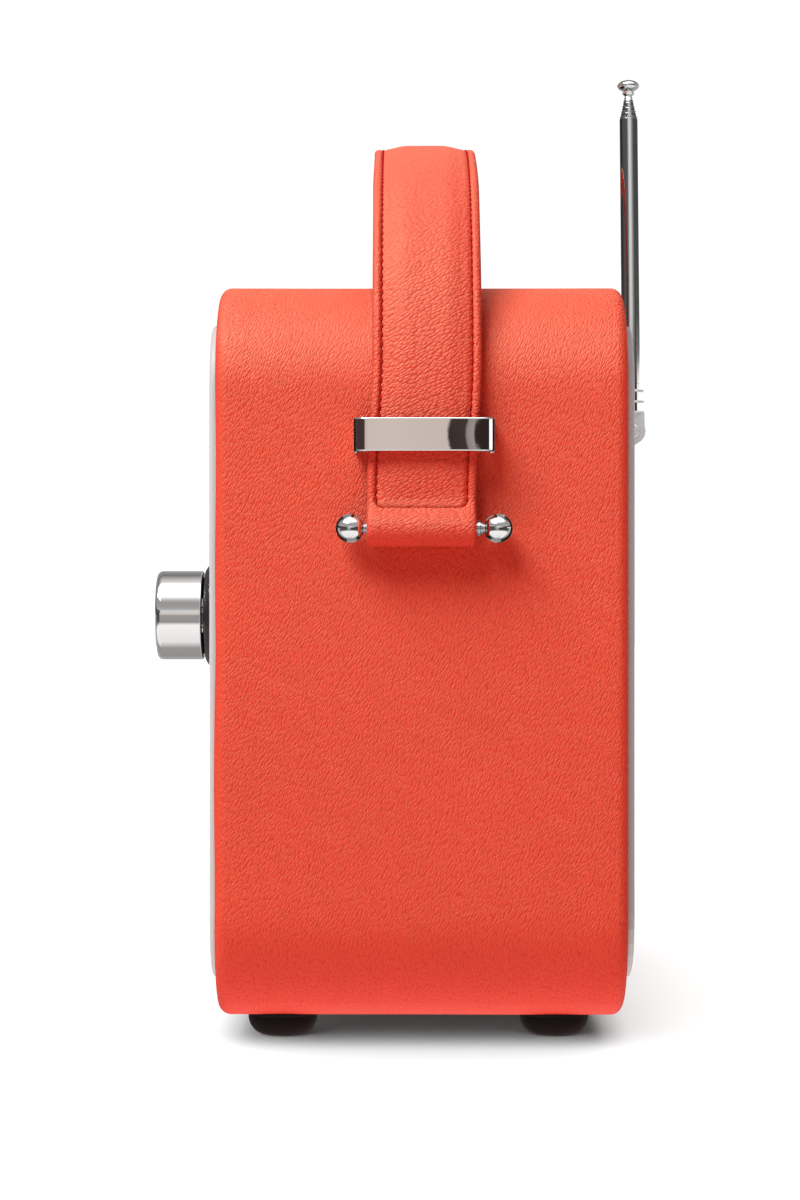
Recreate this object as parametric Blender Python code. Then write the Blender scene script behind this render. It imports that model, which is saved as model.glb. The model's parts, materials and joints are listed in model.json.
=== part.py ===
"""Portable radio in a wrapped leather cabinet, with a sliding strap handle and a telescopic aerial.

Frame: origin at the bottom centre of the whole, +Z up, the front faces -Y, +X is to the right of a
person who looks at the front. Every number below is in millimetres until mesh_object() scales it.
"""

import math

import bmesh
import bpy
import numpy as np
from mathutils import Matrix, Vector

MM = 0.001
GAP = 0.3  # between two pieces that touch

# Cabinet
WIDTH = 270.0
BOTTOM = 5.4
HEIGHT = 188.2
MID_Z = BOTTOM + HEIGHT / 2
MID_Y = 3.4  # the middle of the cabinet's depth
HALF_DEPTH = 51.8
CORNER = 28.0
LEATHER = 1.2
EDGE_ROUND = 3.0
FOLD_IN = 13.0  # how far the leather turns in over the front and rear edges
WALL_OUT = LEATHER + GAP
WALL_IN = 13.6
CORNER_IN = 26.0
SIDE = WIDTH / 2

# Front and rear panels
PANEL_INSET = 9.5
PANEL_PROUD = 2.2
PLUG_INSET = WALL_IN + 0.4
FRONT_Y = MID_Y - HALF_DEPTH - PANEL_PROUD
REAR_Y = MID_Y + HALF_DEPTH + PANEL_PROUD
PANEL_BACK = 4.0  # how deep a panel is, from its outer face
SCREW_INSET = 19.0

# Speaker
SPEAKER_X = -62.0
GRILLE_R = 52.0
SLOT_PITCH = 7.4
SLOT_HEIGHT = 3.4

# Knob, display and buttons
KNOB_X = SIDE - 44.0
KNOB_Z = 108.7
KNOB_R = 11.75
KNOB_FRONT = 15.8
KNOB_REAR = 3.6
DISPLAY_X = 28.0
DISPLAY_Z = 122.0
BUTTON_X = (4.0, 20.0, 36.0, 52.0)
BUTTON_Z = 88.0
BOARD_AT = 16.0  # the control board's front, behind the front panel's face

# Batteries
BAY_X = -56.0
BAY_Z = 60.0
BAY_W = 107.6
BAY_H = 55.4
BAY_DEEP = 28.4
DOOR_THICK = 2.4
HINGE_Y = REAR_Y - 1.3
HINGE_Z = BAY_Z - BAY_H / 2 + 1.4
CELL_R = 13.0
CELL_LONG = 50.0

# Aerial
AERIAL_X = SIDE - 80.0
AERIAL_Y = REAR_Y + 4.9
PIVOT_Z = 159.6
LEAN = 0.55  # how far the raised mast leans to the front, in degrees
CHEEK_R = 3.6
KNUCKLE_R = 3.5
PIN_R = 1.1
PIN_BORE = 1.4
COLLAR_Z = (165.5, 168.7, 172.1)
TUBES = (  # outer radius, inner radius, low end, high end
    (2.5, 2.25, 173.0, 247.4),
    (2.1, 1.88, 175.0, 248.9),
    (1.75, 1.57, 175.8, 250.4),
    (1.45, 1.28, 176.6, 251.9),
)
ROD_R = 1.15
ROD_LOW = 177.4
TIP_TOP = 257.6

# Sockets on the rear panel
POWER_AT = (92.0, 30.0)
PHONES_AT = (74.0, 30.0)

# Strap handle
STRAP_Y = MID_Y + 0.4
STRAP_HALF = 13.65
STRAP_OUT = 5.6  # the strap's outer face beyond the cabinet's side
STRAP_THICK = 4.4
CHANNEL = 2.2  # how deep the padded centre sits in the strap
CENTRE_HALF = 11.2
CENTRE_PROUD = 1.1
ARCH_FROM = 140.0
ARCH_HIGH = 100.0
ARCH_POWER = 3.0
ROLL_X = SIDE + 5.1
ROLL_Z = 130.6
ROLL_R = 4.6
ROLL_THICK = 2.55
ROLL_ENTRY = 50.0  # the angle at which the strap meets its roll
CENTRE_END = 136.3  # the height at which the padded centre ends
BAR_R = 1.45
BALL_R = 3.65
BALL_SPAN = 18.35  # from the middle of the bar to a ball's centre
COLLAR_AT = 13.2  # where the collar on a bar starts, from its middle
KEEPER_Z = 153.8
KEEPER_HIGH = 8.4
KEEPER_HALF = 17.5
KEEPER_OUT = 8.3
KEEPER_THICK = 1.1
KEEPER_BEND = 3.6
KEEPER_IN = 8.0  # how deep its legs stand in the cabinet's side

# Feet
FOOT_X = SIDE - 30.0
FEET_Y = MID_Y - 0.8
FOOT_Y = 35.3
FOOT_R = 9.0

COLOURS = {
    "leather": ((0.80, 0.085, 0.045), 0.0, 0.55),
    "strap_leather": ((0.76, 0.075, 0.042), 0.0, 0.55),
    "cabinet_board": ((0.30, 0.20, 0.12), 0.0, 0.8),
    "panel_white": ((0.78, 0.76, 0.73), 0.0, 0.4),
    "chrome": ((0.80, 0.78, 0.76), 1.0, 0.08),
    "aerial_chrome": ((0.72, 0.71, 0.70), 1.0, 0.12),
    "black_plastic": ((0.015, 0.015, 0.016), 0.0, 0.45),
    "foot_rubber": ((0.022, 0.012, 0.010), 0.0, 0.5),
    "grille_metal": ((0.55, 0.54, 0.52), 1.0, 0.35),
    "display_glass": ((0.02, 0.022, 0.025), 0.0, 0.08),
    "circuit_board": ((0.02, 0.14, 0.06), 0.0, 0.5),
    "speaker_paper": ((0.03, 0.03, 0.032), 0.0, 0.85),
    "magnet_steel": ((0.35, 0.35, 0.36), 1.0, 0.4),
    "cell_wrap": ((0.04, 0.09, 0.22), 0.0, 0.4),
    "contact_nickel": ((0.62, 0.60, 0.56), 1.0, 0.3),
    "screw_steel": ((0.42, 0.42, 0.43), 1.0, 0.3),
}


def clear_scene():
    for thing in list(bpy.data.objects):
        bpy.data.objects.remove(thing, do_unlink=True)


def material(name):
    found = bpy.data.materials.get(name)
    if found:
        return found
    colour, metal, rough = COLOURS[name]
    made = bpy.data.materials.new(name)
    made.use_nodes = True
    shader = made.node_tree.nodes["Principled BSDF"]
    shader.inputs["Base Color"].default_value = (*colour, 1.0)
    shader.inputs["Metallic"].default_value = metal
    shader.inputs["Roughness"].default_value = rough
    made.diffuse_color = (*colour, 1.0)
    return made


# ---- shapes, all in millimetres ----


def ring_faces(bm, first, second):
    count = len(first)
    for i in range(count):
        j = (i + 1) % count
        bm.faces.new((first[i], first[j], second[j], second[i]))


def loft(loops, closed=False):
    """A solid through loops of points that match one to one. A closed loft joins its ends."""
    bm = bmesh.new()
    rings = [[bm.verts.new(point) for point in loop] for loop in loops]
    for first, second in zip(rings, rings[1:]):
        ring_faces(bm, first, second)
    if closed:
        ring_faces(bm, rings[-1], rings[0])
    else:
        bm.faces.new(list(reversed(rings[0])))
        bm.faces.new(rings[-1])
    bmesh.ops.recalc_face_normals(bm, faces=bm.faces)
    return bm


def lathe(profile, centre, axis, segments=32):
    """A turned solid. The profile's points are (radius, along); a closed ring never touches the axis."""
    turned = {"X": Matrix.Rotation(math.pi / 2, 3, "Y"), "Y": Matrix.Rotation(-math.pi / 2, 3, "X")}
    turn = turned.get(axis, Matrix.Identity(3))
    middle = Vector(centre)
    bm = bmesh.new()
    rings = []
    for radius, along in profile:
        if radius < 1e-6:
            rings.append([bm.verts.new(middle + turn @ Vector((0, 0, along)))])
            continue
        ring = []
        for i in range(segments):
            angle = 2 * math.pi * i / segments
            point = Vector((radius * math.cos(angle), radius * math.sin(angle), along))
            ring.append(bm.verts.new(middle + turn @ point))
        rings.append(ring)
    pairs = list(zip(rings, rings[1:]))
    if len(rings[0]) > 1:
        pairs.append((rings[-1], rings[0]))
    for first, second in pairs:
        if len(first) > 1 and len(second) > 1:
            ring_faces(bm, first, second)
            continue
        point, ring = (first[0], second) if len(first) == 1 else (second[0], first)
        for i in range(segments):
            bm.faces.new((point, ring[i], ring[(i + 1) % segments]))
    bmesh.ops.recalc_face_normals(bm, faces=bm.faces)
    return bm


def box(x, y, z, bevel=0.0, steps=1):
    """A box from three (low, high) pairs, with its edges bevelled."""
    bm = bmesh.new()
    bmesh.ops.create_cube(bm, size=1.0)
    for vert in bm.verts:
        for k, (low, high) in enumerate((x, y, z)):
            vert.co[k] = low if vert.co[k] < 0 else high
    if bevel:
        bmesh.ops.bevel(bm, geom=list(bm.edges), offset=bevel, segments=steps, profile=0.5, affect="EDGES")
    bmesh.ops.recalc_face_normals(bm, faces=bm.faces)
    return bm


def rounded(width, height, radius, steps=6):
    """The points of a rounded rectangle about (0, 0)."""
    points = []
    corners = ((1, 1, 0), (-1, 1, 90), (-1, -1, 180), (1, -1, 270))
    for sx, sz, start in corners:
        for i in range(steps + 1):
            angle = math.radians(start + 90 * i / steps)
            x = sx * (width / 2 - radius) + radius * math.cos(angle)
            z = sz * (height / 2 - radius) + radius * math.sin(angle)
            points.append((x, z))
    return points


def cabinet_loop(inset, y, radius=None, steps=6):
    """A loop round the cabinet, that far inside the leather's outer face."""
    corner = CORNER - inset if radius is None else radius
    outline = rounded(WIDTH - 2 * inset, HEIGHT - 2 * inset, corner, steps)
    return [(x, y, MID_Z + z) for x, z in outline]


def plate(centre, size, radius, y_from, y_to, edge=0.0, steps=3):
    """A rounded plate that stands in the XZ plane, with an optional rounded edge on both faces."""
    low, high = min(y_from, y_to), max(y_from, y_to)
    stations = [(low, 0.0), (high, 0.0)]
    if edge:
        stations = [(low, edge), (low + edge, 0.0), (high - edge, 0.0), (high, edge)]
    loops = []
    for y, inset in stations:
        outline = rounded(size[0] - 2 * inset, size[1] - 2 * inset, radius - inset, steps)
        loops.append([(centre[0] + x, y, centre[1] + z) for x, z in outline])
    return loft(loops)


def joined(*shapes):
    """One bmesh that holds several shapes that don't touch."""
    whole = bmesh.new()
    for shape in shapes:
        carrier = bpy.data.meshes.new("carrier")
        shape.to_mesh(carrier)
        whole.from_mesh(carrier)
        bpy.data.meshes.remove(carrier)
    return whole


def boolean(shape, tool, operation):
    """The shape with the tool taken away from it or added to it."""
    held = []
    for part in (shape, tool):
        mesh = bpy.data.meshes.new("operand")
        part.to_mesh(mesh)
        thing = bpy.data.objects.new("operand", mesh)
        bpy.context.scene.collection.objects.link(thing)
        held.append(thing)
    change = held[0].modifiers.new("change", "BOOLEAN")
    change.operation = operation
    change.solver = "EXACT"
    change.object = held[1]
    bpy.context.view_layer.update()
    graph = bpy.context.evaluated_depsgraph_get()
    result = bpy.data.meshes.new_from_object(held[0].evaluated_get(graph))
    out = bmesh.new()
    out.from_mesh(result)
    bmesh.ops.remove_doubles(out, verts=out.verts, dist=1e-4)
    bmesh.ops.dissolve_degenerate(out, edges=out.edges, dist=1e-5)
    for thing in held:
        bpy.data.objects.remove(thing, do_unlink=True)
    return out


def cut(shape, *tools):
    return boolean(shape, joined(*tools), "DIFFERENCE")


def add(shape, *tools):
    for tool in tools:
        shape = boolean(shape, tool, "UNION")
    return shape


def mesh_object(name, shape, colour, pivot=(0, 0, 0), parent=None, smooth=35):
    """The object of a shape, in metres, with its origin on the pivot."""
    middle = Vector(pivot)
    bmesh.ops.triangulate(shape, faces=[f for f in shape.faces if len(f.verts) > 4])
    for vert in shape.verts:
        vert.co = (vert.co - middle) * MM
    mesh = bpy.data.meshes.new(name)
    shape.to_mesh(mesh)
    shape.free()
    mesh.materials.append(material(colour))
    thing = bpy.data.objects.new(name, mesh)
    bpy.context.scene.collection.objects.link(thing)
    thing.location = middle * MM
    if smooth:
        mesh.shade_smooth()
        mesh.set_sharp_from_angle(angle=math.radians(smooth))
    if parent:
        bpy.context.view_layer.update()
        thing.parent = parent
        thing.matrix_parent_inverse = parent.matrix_world.inverted()
    return thing


# ---- cabinet ----


def screw_places():
    for sx in (-1, 1):
        for sz in (-1, 1):
            yield sx * (SIDE - SCREW_INSET), MID_Z + sz * (HEIGHT / 2 - SCREW_INSET)


def keeper_slots(depth):
    """The slots that a keeper's legs stand in, through the leather and into each side."""
    tools = []
    for sx in (-1, 1):
        near, far = SIDE + 2, SIDE - depth
        for sy in (-1, 1):
            middle = STRAP_Y + sy * (KEEPER_HALF - KEEPER_THICK / 2)
            half = KEEPER_THICK / 2 + GAP
            x = sorted((sx * near, sx * far))
            z = (KEEPER_Z - KEEPER_HIGH / 2 - GAP, KEEPER_Z + KEEPER_HIGH / 2 + GAP)
            tools.append(box(x, (middle - half, middle + half), z))
    return tools


def build_cabinet():
    """The board cabinet: a ring that is open at the front and at the rear."""
    face = HALF_DEPTH - LEATHER - GAP
    stations = (
        (WALL_OUT, -face, None),
        (WALL_OUT, face, None),
        (WALL_IN, face, CORNER_IN),
        (WALL_IN, -face, CORNER_IN),
    )
    loops = [cabinet_loop(inset, MID_Y + y, radius) for inset, y, radius in stations]
    ring = loft(loops, closed=True)
    pilots = []
    for x, z in screw_places():
        pilots.append(lathe([(0, -13), (1.7, -13), (1.7, 1), (0, 1)], (x, MID_Y + face, z), "Y", 12))
    ring = cut(ring, *keeper_slots(KEEPER_IN + 0.4), *pilots)
    return mesh_object("cabinet_shell", ring, "cabinet_board")


def build_leather():
    """The wrap: a band round the cabinet with both edges turned in over the front and the rear."""
    outer = []
    for i in range(4):
        angle = math.radians(90 * i / 3)
        inset = EDGE_ROUND - EDGE_ROUND * math.sin(angle)
        outer.append((inset, HALF_DEPTH - EDGE_ROUND + EDGE_ROUND * math.cos(angle)))
    half = [(FOLD_IN, HALF_DEPTH)] + outer
    inner = [(LEATHER, HALF_DEPTH - LEATHER), (FOLD_IN, HALF_DEPTH - LEATHER)]
    profile = half + [(inset, -y) for inset, y in reversed(half)]
    profile += [(inset, -y) for inset, y in reversed(inner)] + inner
    loops = [cabinet_loop(inset, MID_Y + y, None, 7) for inset, y in profile]
    return mesh_object("leather_wrap", cut(loft(loops, closed=True), *keeper_slots(3)), "leather")


def panel_body(facing, face):
    """A panel: a rim that lies on the leather's turned edge, and a plug that sits in the cabinet."""
    rim = PANEL_PROUD - GAP
    stations = (
        (PANEL_INSET + 1.2, 0.0, None),
        (PANEL_INSET + 0.35, 0.3, None),
        (PANEL_INSET, 1.1, None),
        (PANEL_INSET, rim, None),
        (PLUG_INSET, rim, 25.6),
        (PLUG_INSET, PANEL_BACK, 25.6),
    )
    loops = []
    for inset, deep, radius in stations:
        loops.append(cabinet_loop(inset, face - facing * deep, radius, 7))
    return loft(loops)


def build_front_panel():
    panel = panel_body(-1, FRONT_Y)
    deep = PANEL_BACK + 2
    seat = GRILLE_R + GAP
    well = [(0, -1), (seat, -1), (seat, 1.7), (45, 1.7), (45, deep), (0, deep)]
    bush = [(0, -1), (3.9, -1), (3.9, deep), (0, deep)]
    tools = [lathe(well, (SPEAKER_X, FRONT_Y, MID_Z), "Y", 40)]
    tools.append(plate((DISPLAY_X, DISPLAY_Z), (64.6, 34.6), 3, FRONT_Y - 1, FRONT_Y + deep))
    tools.append(lathe(bush, (KNOB_X, FRONT_Y, KNOB_Z), "Y", 24))
    for x in BUTTON_X:
        tools.append(plate((x, BUTTON_Z), (11.6, 5.6), 2.7, FRONT_Y - 1, FRONT_Y + deep))
    return mesh_object("front_panel", cut(panel, *tools), "panel_white")


def build_rear_panel():
    panel = panel_body(1, REAR_Y)
    screw = [(0, 1), (3.0, 1), (3.0, -1.4), (1.7, -1.4), (1.7, -5), (0, -5)]
    tools = [lathe(screw, (x, REAR_Y, z), "Y", 16) for x, z in screw_places()]
    bay_x = (BAY_X - BAY_W / 2, BAY_X + BAY_W / 2)
    bay_z = (BAY_Z - BAY_H / 2, BAY_Z + BAY_H / 2)
    tools.append(box(bay_x, (REAR_Y - 6, REAR_Y + 1), bay_z))
    panel = cut(panel, *tools)
    half = BAY_W / 2 + 2
    hinge = lathe([(0, -half), (1.0, -half), (1.0, half), (0, half)], (BAY_X, HINGE_Y, HINGE_Z), "X", 12)
    stem = [(0, 1), (5.9, 1), (5.9, -1.3), (2.8, -1.3), (2.8, -5), (0, -5)]
    stem = lathe(stem, (AERIAL_X, REAR_Y, PIVOT_Z), "Y", 32)
    power = plate(POWER_AT, (10.0, 4.2), 2.0, REAR_Y - 6, REAR_Y + 1)
    phones = lathe([(0, 1), (3.4, 1), (3.4, -6), (0, -6)], (PHONES_AT[0], REAR_Y, PHONES_AT[1]), "Y", 20)
    return mesh_object("rear_panel", cut(panel, hinge, stem, power, phones), "panel_white")


def build_screws():
    tip = [(0, -14), (0.6, -14), (1.4, -12.6), (1.4, -1.2)]
    head = [(2.7, -1.2), (2.7, -0.4), (2.2, 0), (0.9, 0), (0.9, -0.7), (0, -0.7)]
    for number, (x, z) in enumerate(screw_places(), 1):
        screw = lathe(tip + head, (x, REAR_Y - 0.15, z), "Y", 12)
        mesh_object(f"rear_screw_{number}", screw, "screw_steel")


def build_feet():
    top = BOTTOM - GAP
    profile = [(0, 0), (4.6, 0), (6.2, 0.5), (7.5, 1.7), (8.5, 3.3), (FOOT_R, top), (0, top)]
    number = 0
    for sx in (-1, 1):
        for sy in (-1, 1):
            number += 1
            place = (sx * FOOT_X, FEET_Y + sy * FOOT_Y, 0)
            mesh_object(f"foot_{number}", lathe(profile, place, "Z", 24), "foot_rubber")


# ---- front: speaker, display, knob, buttons ----


def build_grille():
    rim = [(GRILLE_R - 1.2, -0.2), (GRILLE_R, 0.6), (GRILLE_R, 1.4)]
    disc = lathe([(0, -0.9), (30, -0.7), *rim, (0, 1.4)], (SPEAKER_X, FRONT_Y, MID_Z), "Y", 40)
    tools = []
    for row in range(-5, 6):
        z = row * SLOT_PITCH
        half = math.sqrt((GRILLE_R - 8.5) ** 2 - z**2)
        size = (2 * half, SLOT_HEIGHT)
        tools.append(plate((SPEAKER_X, MID_Z + z), size, 1.69, FRONT_Y - 3, FRONT_Y + 3, 0.0, 2))
    return mesh_object("speaker_grille", cut(disc, *tools), "grille_metal")


def build_speaker():
    centre = (SPEAKER_X, FRONT_Y + PANEL_BACK + GAP, MID_Z)
    outside = [(43, 0), (50, 0), (50, 3.5), (43, 4.5), (24, 24), (24, 26)]
    inside = [(20, 26), (20, 22.5), (40, 3.2), (43, 2.2)]
    mesh_object("speaker_basket", lathe(outside + inside, centre, "Y", 28), "black_plastic")
    face = [(0, 8), (9, 10), (12, 15), (41.5, 1.0), (42.4, 0.9)]
    back = [(42.4, 1.9), (41, 2.6), (14, 17.2), (14, 21), (11, 21), (11, 17), (8, 11.5), (0, 9.2)]
    mesh_object("speaker_cone", lathe(face + back, centre, "Y", 28), "speaker_paper")
    magnet = [(0, 26.3), (27, 26.3), (28, 27.3), (28, 38), (27, 39), (0, 39)]
    mesh_object("speaker_magnet", lathe(magnet, centre, "Y", 24), "magnet_steel")


def build_display():
    window = plate((DISPLAY_X, DISPLAY_Z), (64, 34), 2.7, FRONT_Y + 0.1, FRONT_Y + 1.9, 0.3)
    mesh_object("display_window", window, "display_glass")
    module = plate((DISPLAY_X, DISPLAY_Z), (62, 32), 1.5, FRONT_Y + 2.2, FRONT_Y + 7.5, 0.3)
    y = (FRONT_Y + 7.2, FRONT_Y + BOARD_AT - GAP)
    header = box((DISPLAY_X - 20, DISPLAY_X + 20), y, (DISPLAY_Z + 4, DISPLAY_Z + 7))
    mesh_object("display_module", add(module, header), "black_plastic")


def build_control_board():
    back = FRONT_Y + BOARD_AT + 1.6
    board = plate((58.0, 108.0), (110, 66), 2, FRONT_Y + BOARD_AT, back)
    chips = []
    for x, z, w, h, t in ((40, 118, 14, 14, 1.4), (70, 96, 18, 8, 2.4), (24, 96, 8, 12, 3.0)):
        chips.append(box((x - w / 2, x + w / 2), (back - 0.4, back + t), (z - h / 2, z + h / 2)))
    mesh_object("control_board", add(board, *chips), "circuit_board")


def build_encoder():
    y = (FRONT_Y + 8.2, FRONT_Y + BOARD_AT - GAP)
    can = box((KNOB_X - 6.2, KNOB_X + 6.2), y, (KNOB_Z - 6.6, KNOB_Z + 6.6), 0.4)
    sleeve = lathe([(0, -1.6), (3.55, -1.6), (3.55, 8.8), (0, 8.8)], (KNOB_X, FRONT_Y, KNOB_Z), "Y", 24)
    bore = lathe([(0, -3), (2.6, -3), (2.6, 13.4), (0, 13.4)], (KNOB_X, FRONT_Y, KNOB_Z), "Y", 24)
    mesh_object("encoder_body", cut(add(can, sleeve), bore), "magnet_steel")
    pivot = (KNOB_X, FRONT_Y, KNOB_Z)
    plunger = lathe([(0, 10.2), (2.3, 10.2), (2.3, 12.2), (0, 12.2)], pivot, "Y", 20)
    plunger = mesh_object("encoder_plunger", plunger, "black_plastic", pivot)
    shaft = lathe([(0, -12.4), (1.9, -12.4), (2.3, -12.0), (2.3, 9.9), (0, 9.9)], pivot, "Y", 20)
    shaft = mesh_object("encoder_shaft", shaft, "screw_steel", pivot, plunger)
    return shaft, pivot


def build_knob(shaft, pivot):
    front, rear = -KNOB_FRONT, -KNOB_REAR
    nose = [(0, front), (8.0, front), (10.4, front + 0.25), (11.3, front + 0.6)]
    side = [(KNOB_R, front + 1.3), (KNOB_R, rear - 0.3), (KNOB_R - 0.3, rear)]
    hollow = [(10.2, rear), (10.2, front + 2.2), (4.6, front + 2.2), (4.6, rear - 0.4)]
    bore = [(2.6, rear - 0.4), (2.6, front + 3.0), (0, front + 3.0)]
    knob = lathe(nose + side + hollow + bore, pivot, "Y", 40)
    mesh_object("control_knob", knob, "chrome", pivot, shaft)


def build_bezel():
    """The black ring behind the knob, which flares out towards the panel."""
    well = [(4.0, -0.3), (4.0, -1.2), (9.6, -1.2)]
    flare = [(11.2, -3.1), (11.9, -3.1), (12.9, -2.5), (13.8, -1.6), (15.0, -0.3)]
    mesh_object("knob_bezel", lathe(well + flare, (KNOB_X, FRONT_Y, KNOB_Z), "Y", 32), "black_plastic")


def build_buttons():
    for number, x in enumerate(BUTTON_X, 1):
        cap = plate((x, BUTTON_Z), (11.0, 5.0), 2.4, FRONT_Y - 1.3, FRONT_Y + PANEL_BACK + 1.4, 0.35)
        y = (FRONT_Y + PANEL_BACK + 0.4, FRONT_Y + PANEL_BACK + 1.7)
        collar = box((x - 7.2, x + 7.2), y, (BUTTON_Z - 4.2, BUTTON_Z + 4.2))
        end = BOARD_AT - 1.3
        stem = lathe([(0, 5), (1.6, 5), (1.6, end), (0, end)], (x, FRONT_Y, BUTTON_Z), "Y", 12)
        mesh_object(f"button_{number}", add(cap, collar, stem), "black_plastic", (x, FRONT_Y, BUTTON_Z))


# ---- rear: main board, sockets, batteries ----


def build_main_board():
    rear = REAR_Y - PANEL_BACK - 4.6
    board = plate((66.0, 73.0), (86, 94), 2, rear - 1.6, rear)
    parts = []
    chips = ((56, 96, 22, 22, 3.0), (90, 98, 12, 26, 9.0), (84, 60, 16, 16, 2.0), (50, 58, 14, 10, 7.0))
    for x, z, w, h, t in chips:
        parts.append(box((x - w / 2, x + w / 2), (rear - 1.2 - t, rear - 1.2), (z - h / 2, z + h / 2)))
    mesh_object("main_board", add(board, *parts), "circuit_board")
    x, z = POWER_AT
    shell = plate(POWER_AT, (9.4, 3.6), 1.7, rear + GAP, REAR_Y - 0.5)
    hollow = plate(POWER_AT, (8.4, 2.6), 1.2, rear + 2.5, REAR_Y + 1)
    tongue = box((x - 3.2, x + 3.2), (rear + 2.2, REAR_Y - 1.6), (z - 0.35, z + 0.35))
    mesh_object("power_socket", add(cut(shell, hollow), tongue), "contact_nickel")
    back = rear + GAP - REAR_Y
    socket = [(0, back), (3.1, back), (3.1, -0.3), (1.85, -0.3), (1.85, -7.6), (0, -7.6)]
    socket = lathe(socket, (PHONES_AT[0], REAR_Y, PHONES_AT[1]), "Y", 20)
    mesh_object("phones_socket", socket, "black_plastic")


def build_battery_bay():
    y_open = REAR_Y - PANEL_BACK - GAP
    x = (BAY_X - BAY_W / 2, BAY_X + BAY_W / 2)
    z = (BAY_Z - BAY_H / 2, BAY_Z + BAY_H / 2)
    wall = 1.6
    outer = box((x[0] - wall, x[1] + wall), (y_open - BAY_DEEP - wall, y_open), (z[0] - wall, z[1] + wall))
    inner = box(x, (y_open - BAY_DEEP, y_open + 2), z)
    mesh_object("battery_tray", cut(outer, inner), "black_plastic")
    y_cell = y_open - BAY_DEEP + CELL_R + 0.6
    for side, x_at in (("left", x[0] + GAP), ("right", x[1] - GAP - 0.5)):
        strip = box((x_at, x_at + 0.5), (y_cell - 10, y_cell + 10), (z[0] + 4, z[1] - 4))
        bumps = []
        for row in (-1, 1):
            low, high = (0.2, 2.2) if side == "left" else (-1.7, 0.3)
            profile = [(0, low), (3.5, low), (3.5, high), (0, high)]
            bumps.append(lathe(profile, (x_at, y_cell, BAY_Z + row * 13.6), "X", 16))
        mesh_object(f"battery_contact_{side}", add(strip, *bumps), "contact_nickel")
    low, high = -CELL_LONG / 2, CELL_LONG / 2
    can = [(0, low), (CELL_R - 0.6, low), (CELL_R, low + 0.6), (CELL_R, high - 2.1)]
    cap = [(CELL_R - 0.6, high - 1.5), (3.8, high - 1.5), (3.8, high), (0, high)]
    number = 0
    for row in (-1, 1):
        for column in (-1, 1):
            number += 1
            centre = (BAY_X + column * (CELL_LONG / 2 + 0.2), y_cell, BAY_Z + row * 13.6)
            mesh_object(f"cell_{number}", lathe(can + cap, centre, "X", 20), "cell_wrap")


def build_battery_door():
    half_w, half_h = BAY_W / 2 - GAP, BAY_H / 2 - GAP
    top = BAY_Z + half_h
    r = DOOR_THICK / 2 - 0.1
    section = [(HINGE_Y + r, top), (HINGE_Y - r, top)]
    for i in range(7):
        angle = math.radians(180 + 180 * i / 6)
        section.append((HINGE_Y + r * math.cos(angle), HINGE_Z + r * math.sin(angle)))
    door = loft([[(x, y, z) for y, z in section] for x in (BAY_X - half_w, BAY_X + half_w)])
    end = half_w + 1.6
    pivot = (BAY_X, HINGE_Y, HINGE_Z)
    pins = lathe([(0, -end), (0.7, -end), (0.7, end), (0, end)], pivot, "X", 12)
    notch = box((BAY_X - 9.0, BAY_X + 9.0), (HINGE_Y + 0.2, HINGE_Y + 3), (top - 7.0, top + 1))
    mesh_object("battery_door", cut(add(door, pins), notch), "panel_white", pivot)


# ---- aerial ----


def leaned(shape):
    """A shape turned about the aerial's pin, so that the mast leans to the front."""
    pivot = Vector((AERIAL_X, AERIAL_Y, PIVOT_Z))
    turn = Matrix.Rotation(math.radians(LEAN), 3, "X")
    bmesh.ops.rotate(shape, verts=shape.verts, cent=pivot, matrix=turn)
    return shape


def on_mast(z):
    """The point of the leaning mast's axis that stood at that height before it leaned."""
    rise = z - PIVOT_Z
    angle = math.radians(LEAN)
    return (AERIAL_X, AERIAL_Y - rise * math.sin(angle), PIVOT_Z + rise * math.cos(angle))


def pin_bore(pivot):
    return lathe([(0, -9), (PIN_BORE, -9), (PIN_BORE, 9), (0, 9)], pivot, "X", 16)


def fork_cheek(sx):
    outline = [(REAR_Y - 0.4, PIVOT_Z - CHEEK_R), (AERIAL_Y, PIVOT_Z - CHEEK_R)]
    for i in range(1, 8):
        angle = math.radians(-90 + 180 * i / 8)
        outline.append((AERIAL_Y + CHEEK_R * math.cos(angle), PIVOT_Z + CHEEK_R * math.sin(angle)))
    outline += [(AERIAL_Y, PIVOT_Z + CHEEK_R), (REAR_Y - 0.4, PIVOT_Z + CHEEK_R)]
    return loft([[(AERIAL_X + at, y, z) for y, z in outline] for at in sorted((sx * 2.7, sx * 3.9))])


def build_aerial():
    base = (AERIAL_X, REAR_Y, PIVOT_Z)
    pivot = (AERIAL_X, AERIAL_Y, PIVOT_Z)
    stem = [(0, -7.6), (2.4, -7.6), (2.4, -1.0)]
    disc = lathe(stem + [(5.5, -1.0), (5.5, 0.1), (5.1, 0.4), (0, 0.4)], base, "Y", 32)
    fork = cut(add(disc, fork_cheek(-1), fork_cheek(1)), pin_bore(pivot))
    swivel = mesh_object("aerial_swivel", fork, "aerial_chrome", base)
    nut = lathe([(0, -6.9), (4.8, -6.9), (4.8, -4.3), (0, -4.3)], base, "Y", 6)
    nut = cut(nut, lathe([(0, -8), (2.7, -8), (2.7, -3), (0, -3)], base, "Y", 16))
    mesh_object("aerial_nut", nut, "screw_steel", smooth=0)
    head = [(0, -4.9), (1.6, -4.9), (1.95, -4.6), (1.95, -4.2), (PIN_R, -4.2)]
    pin = lathe(head + [(radius, -along) for radius, along in reversed(head)], pivot, "X", 14)
    mesh_object("aerial_pin", pin, "screw_steel", pivot, swivel)
    return swivel, pivot


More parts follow.
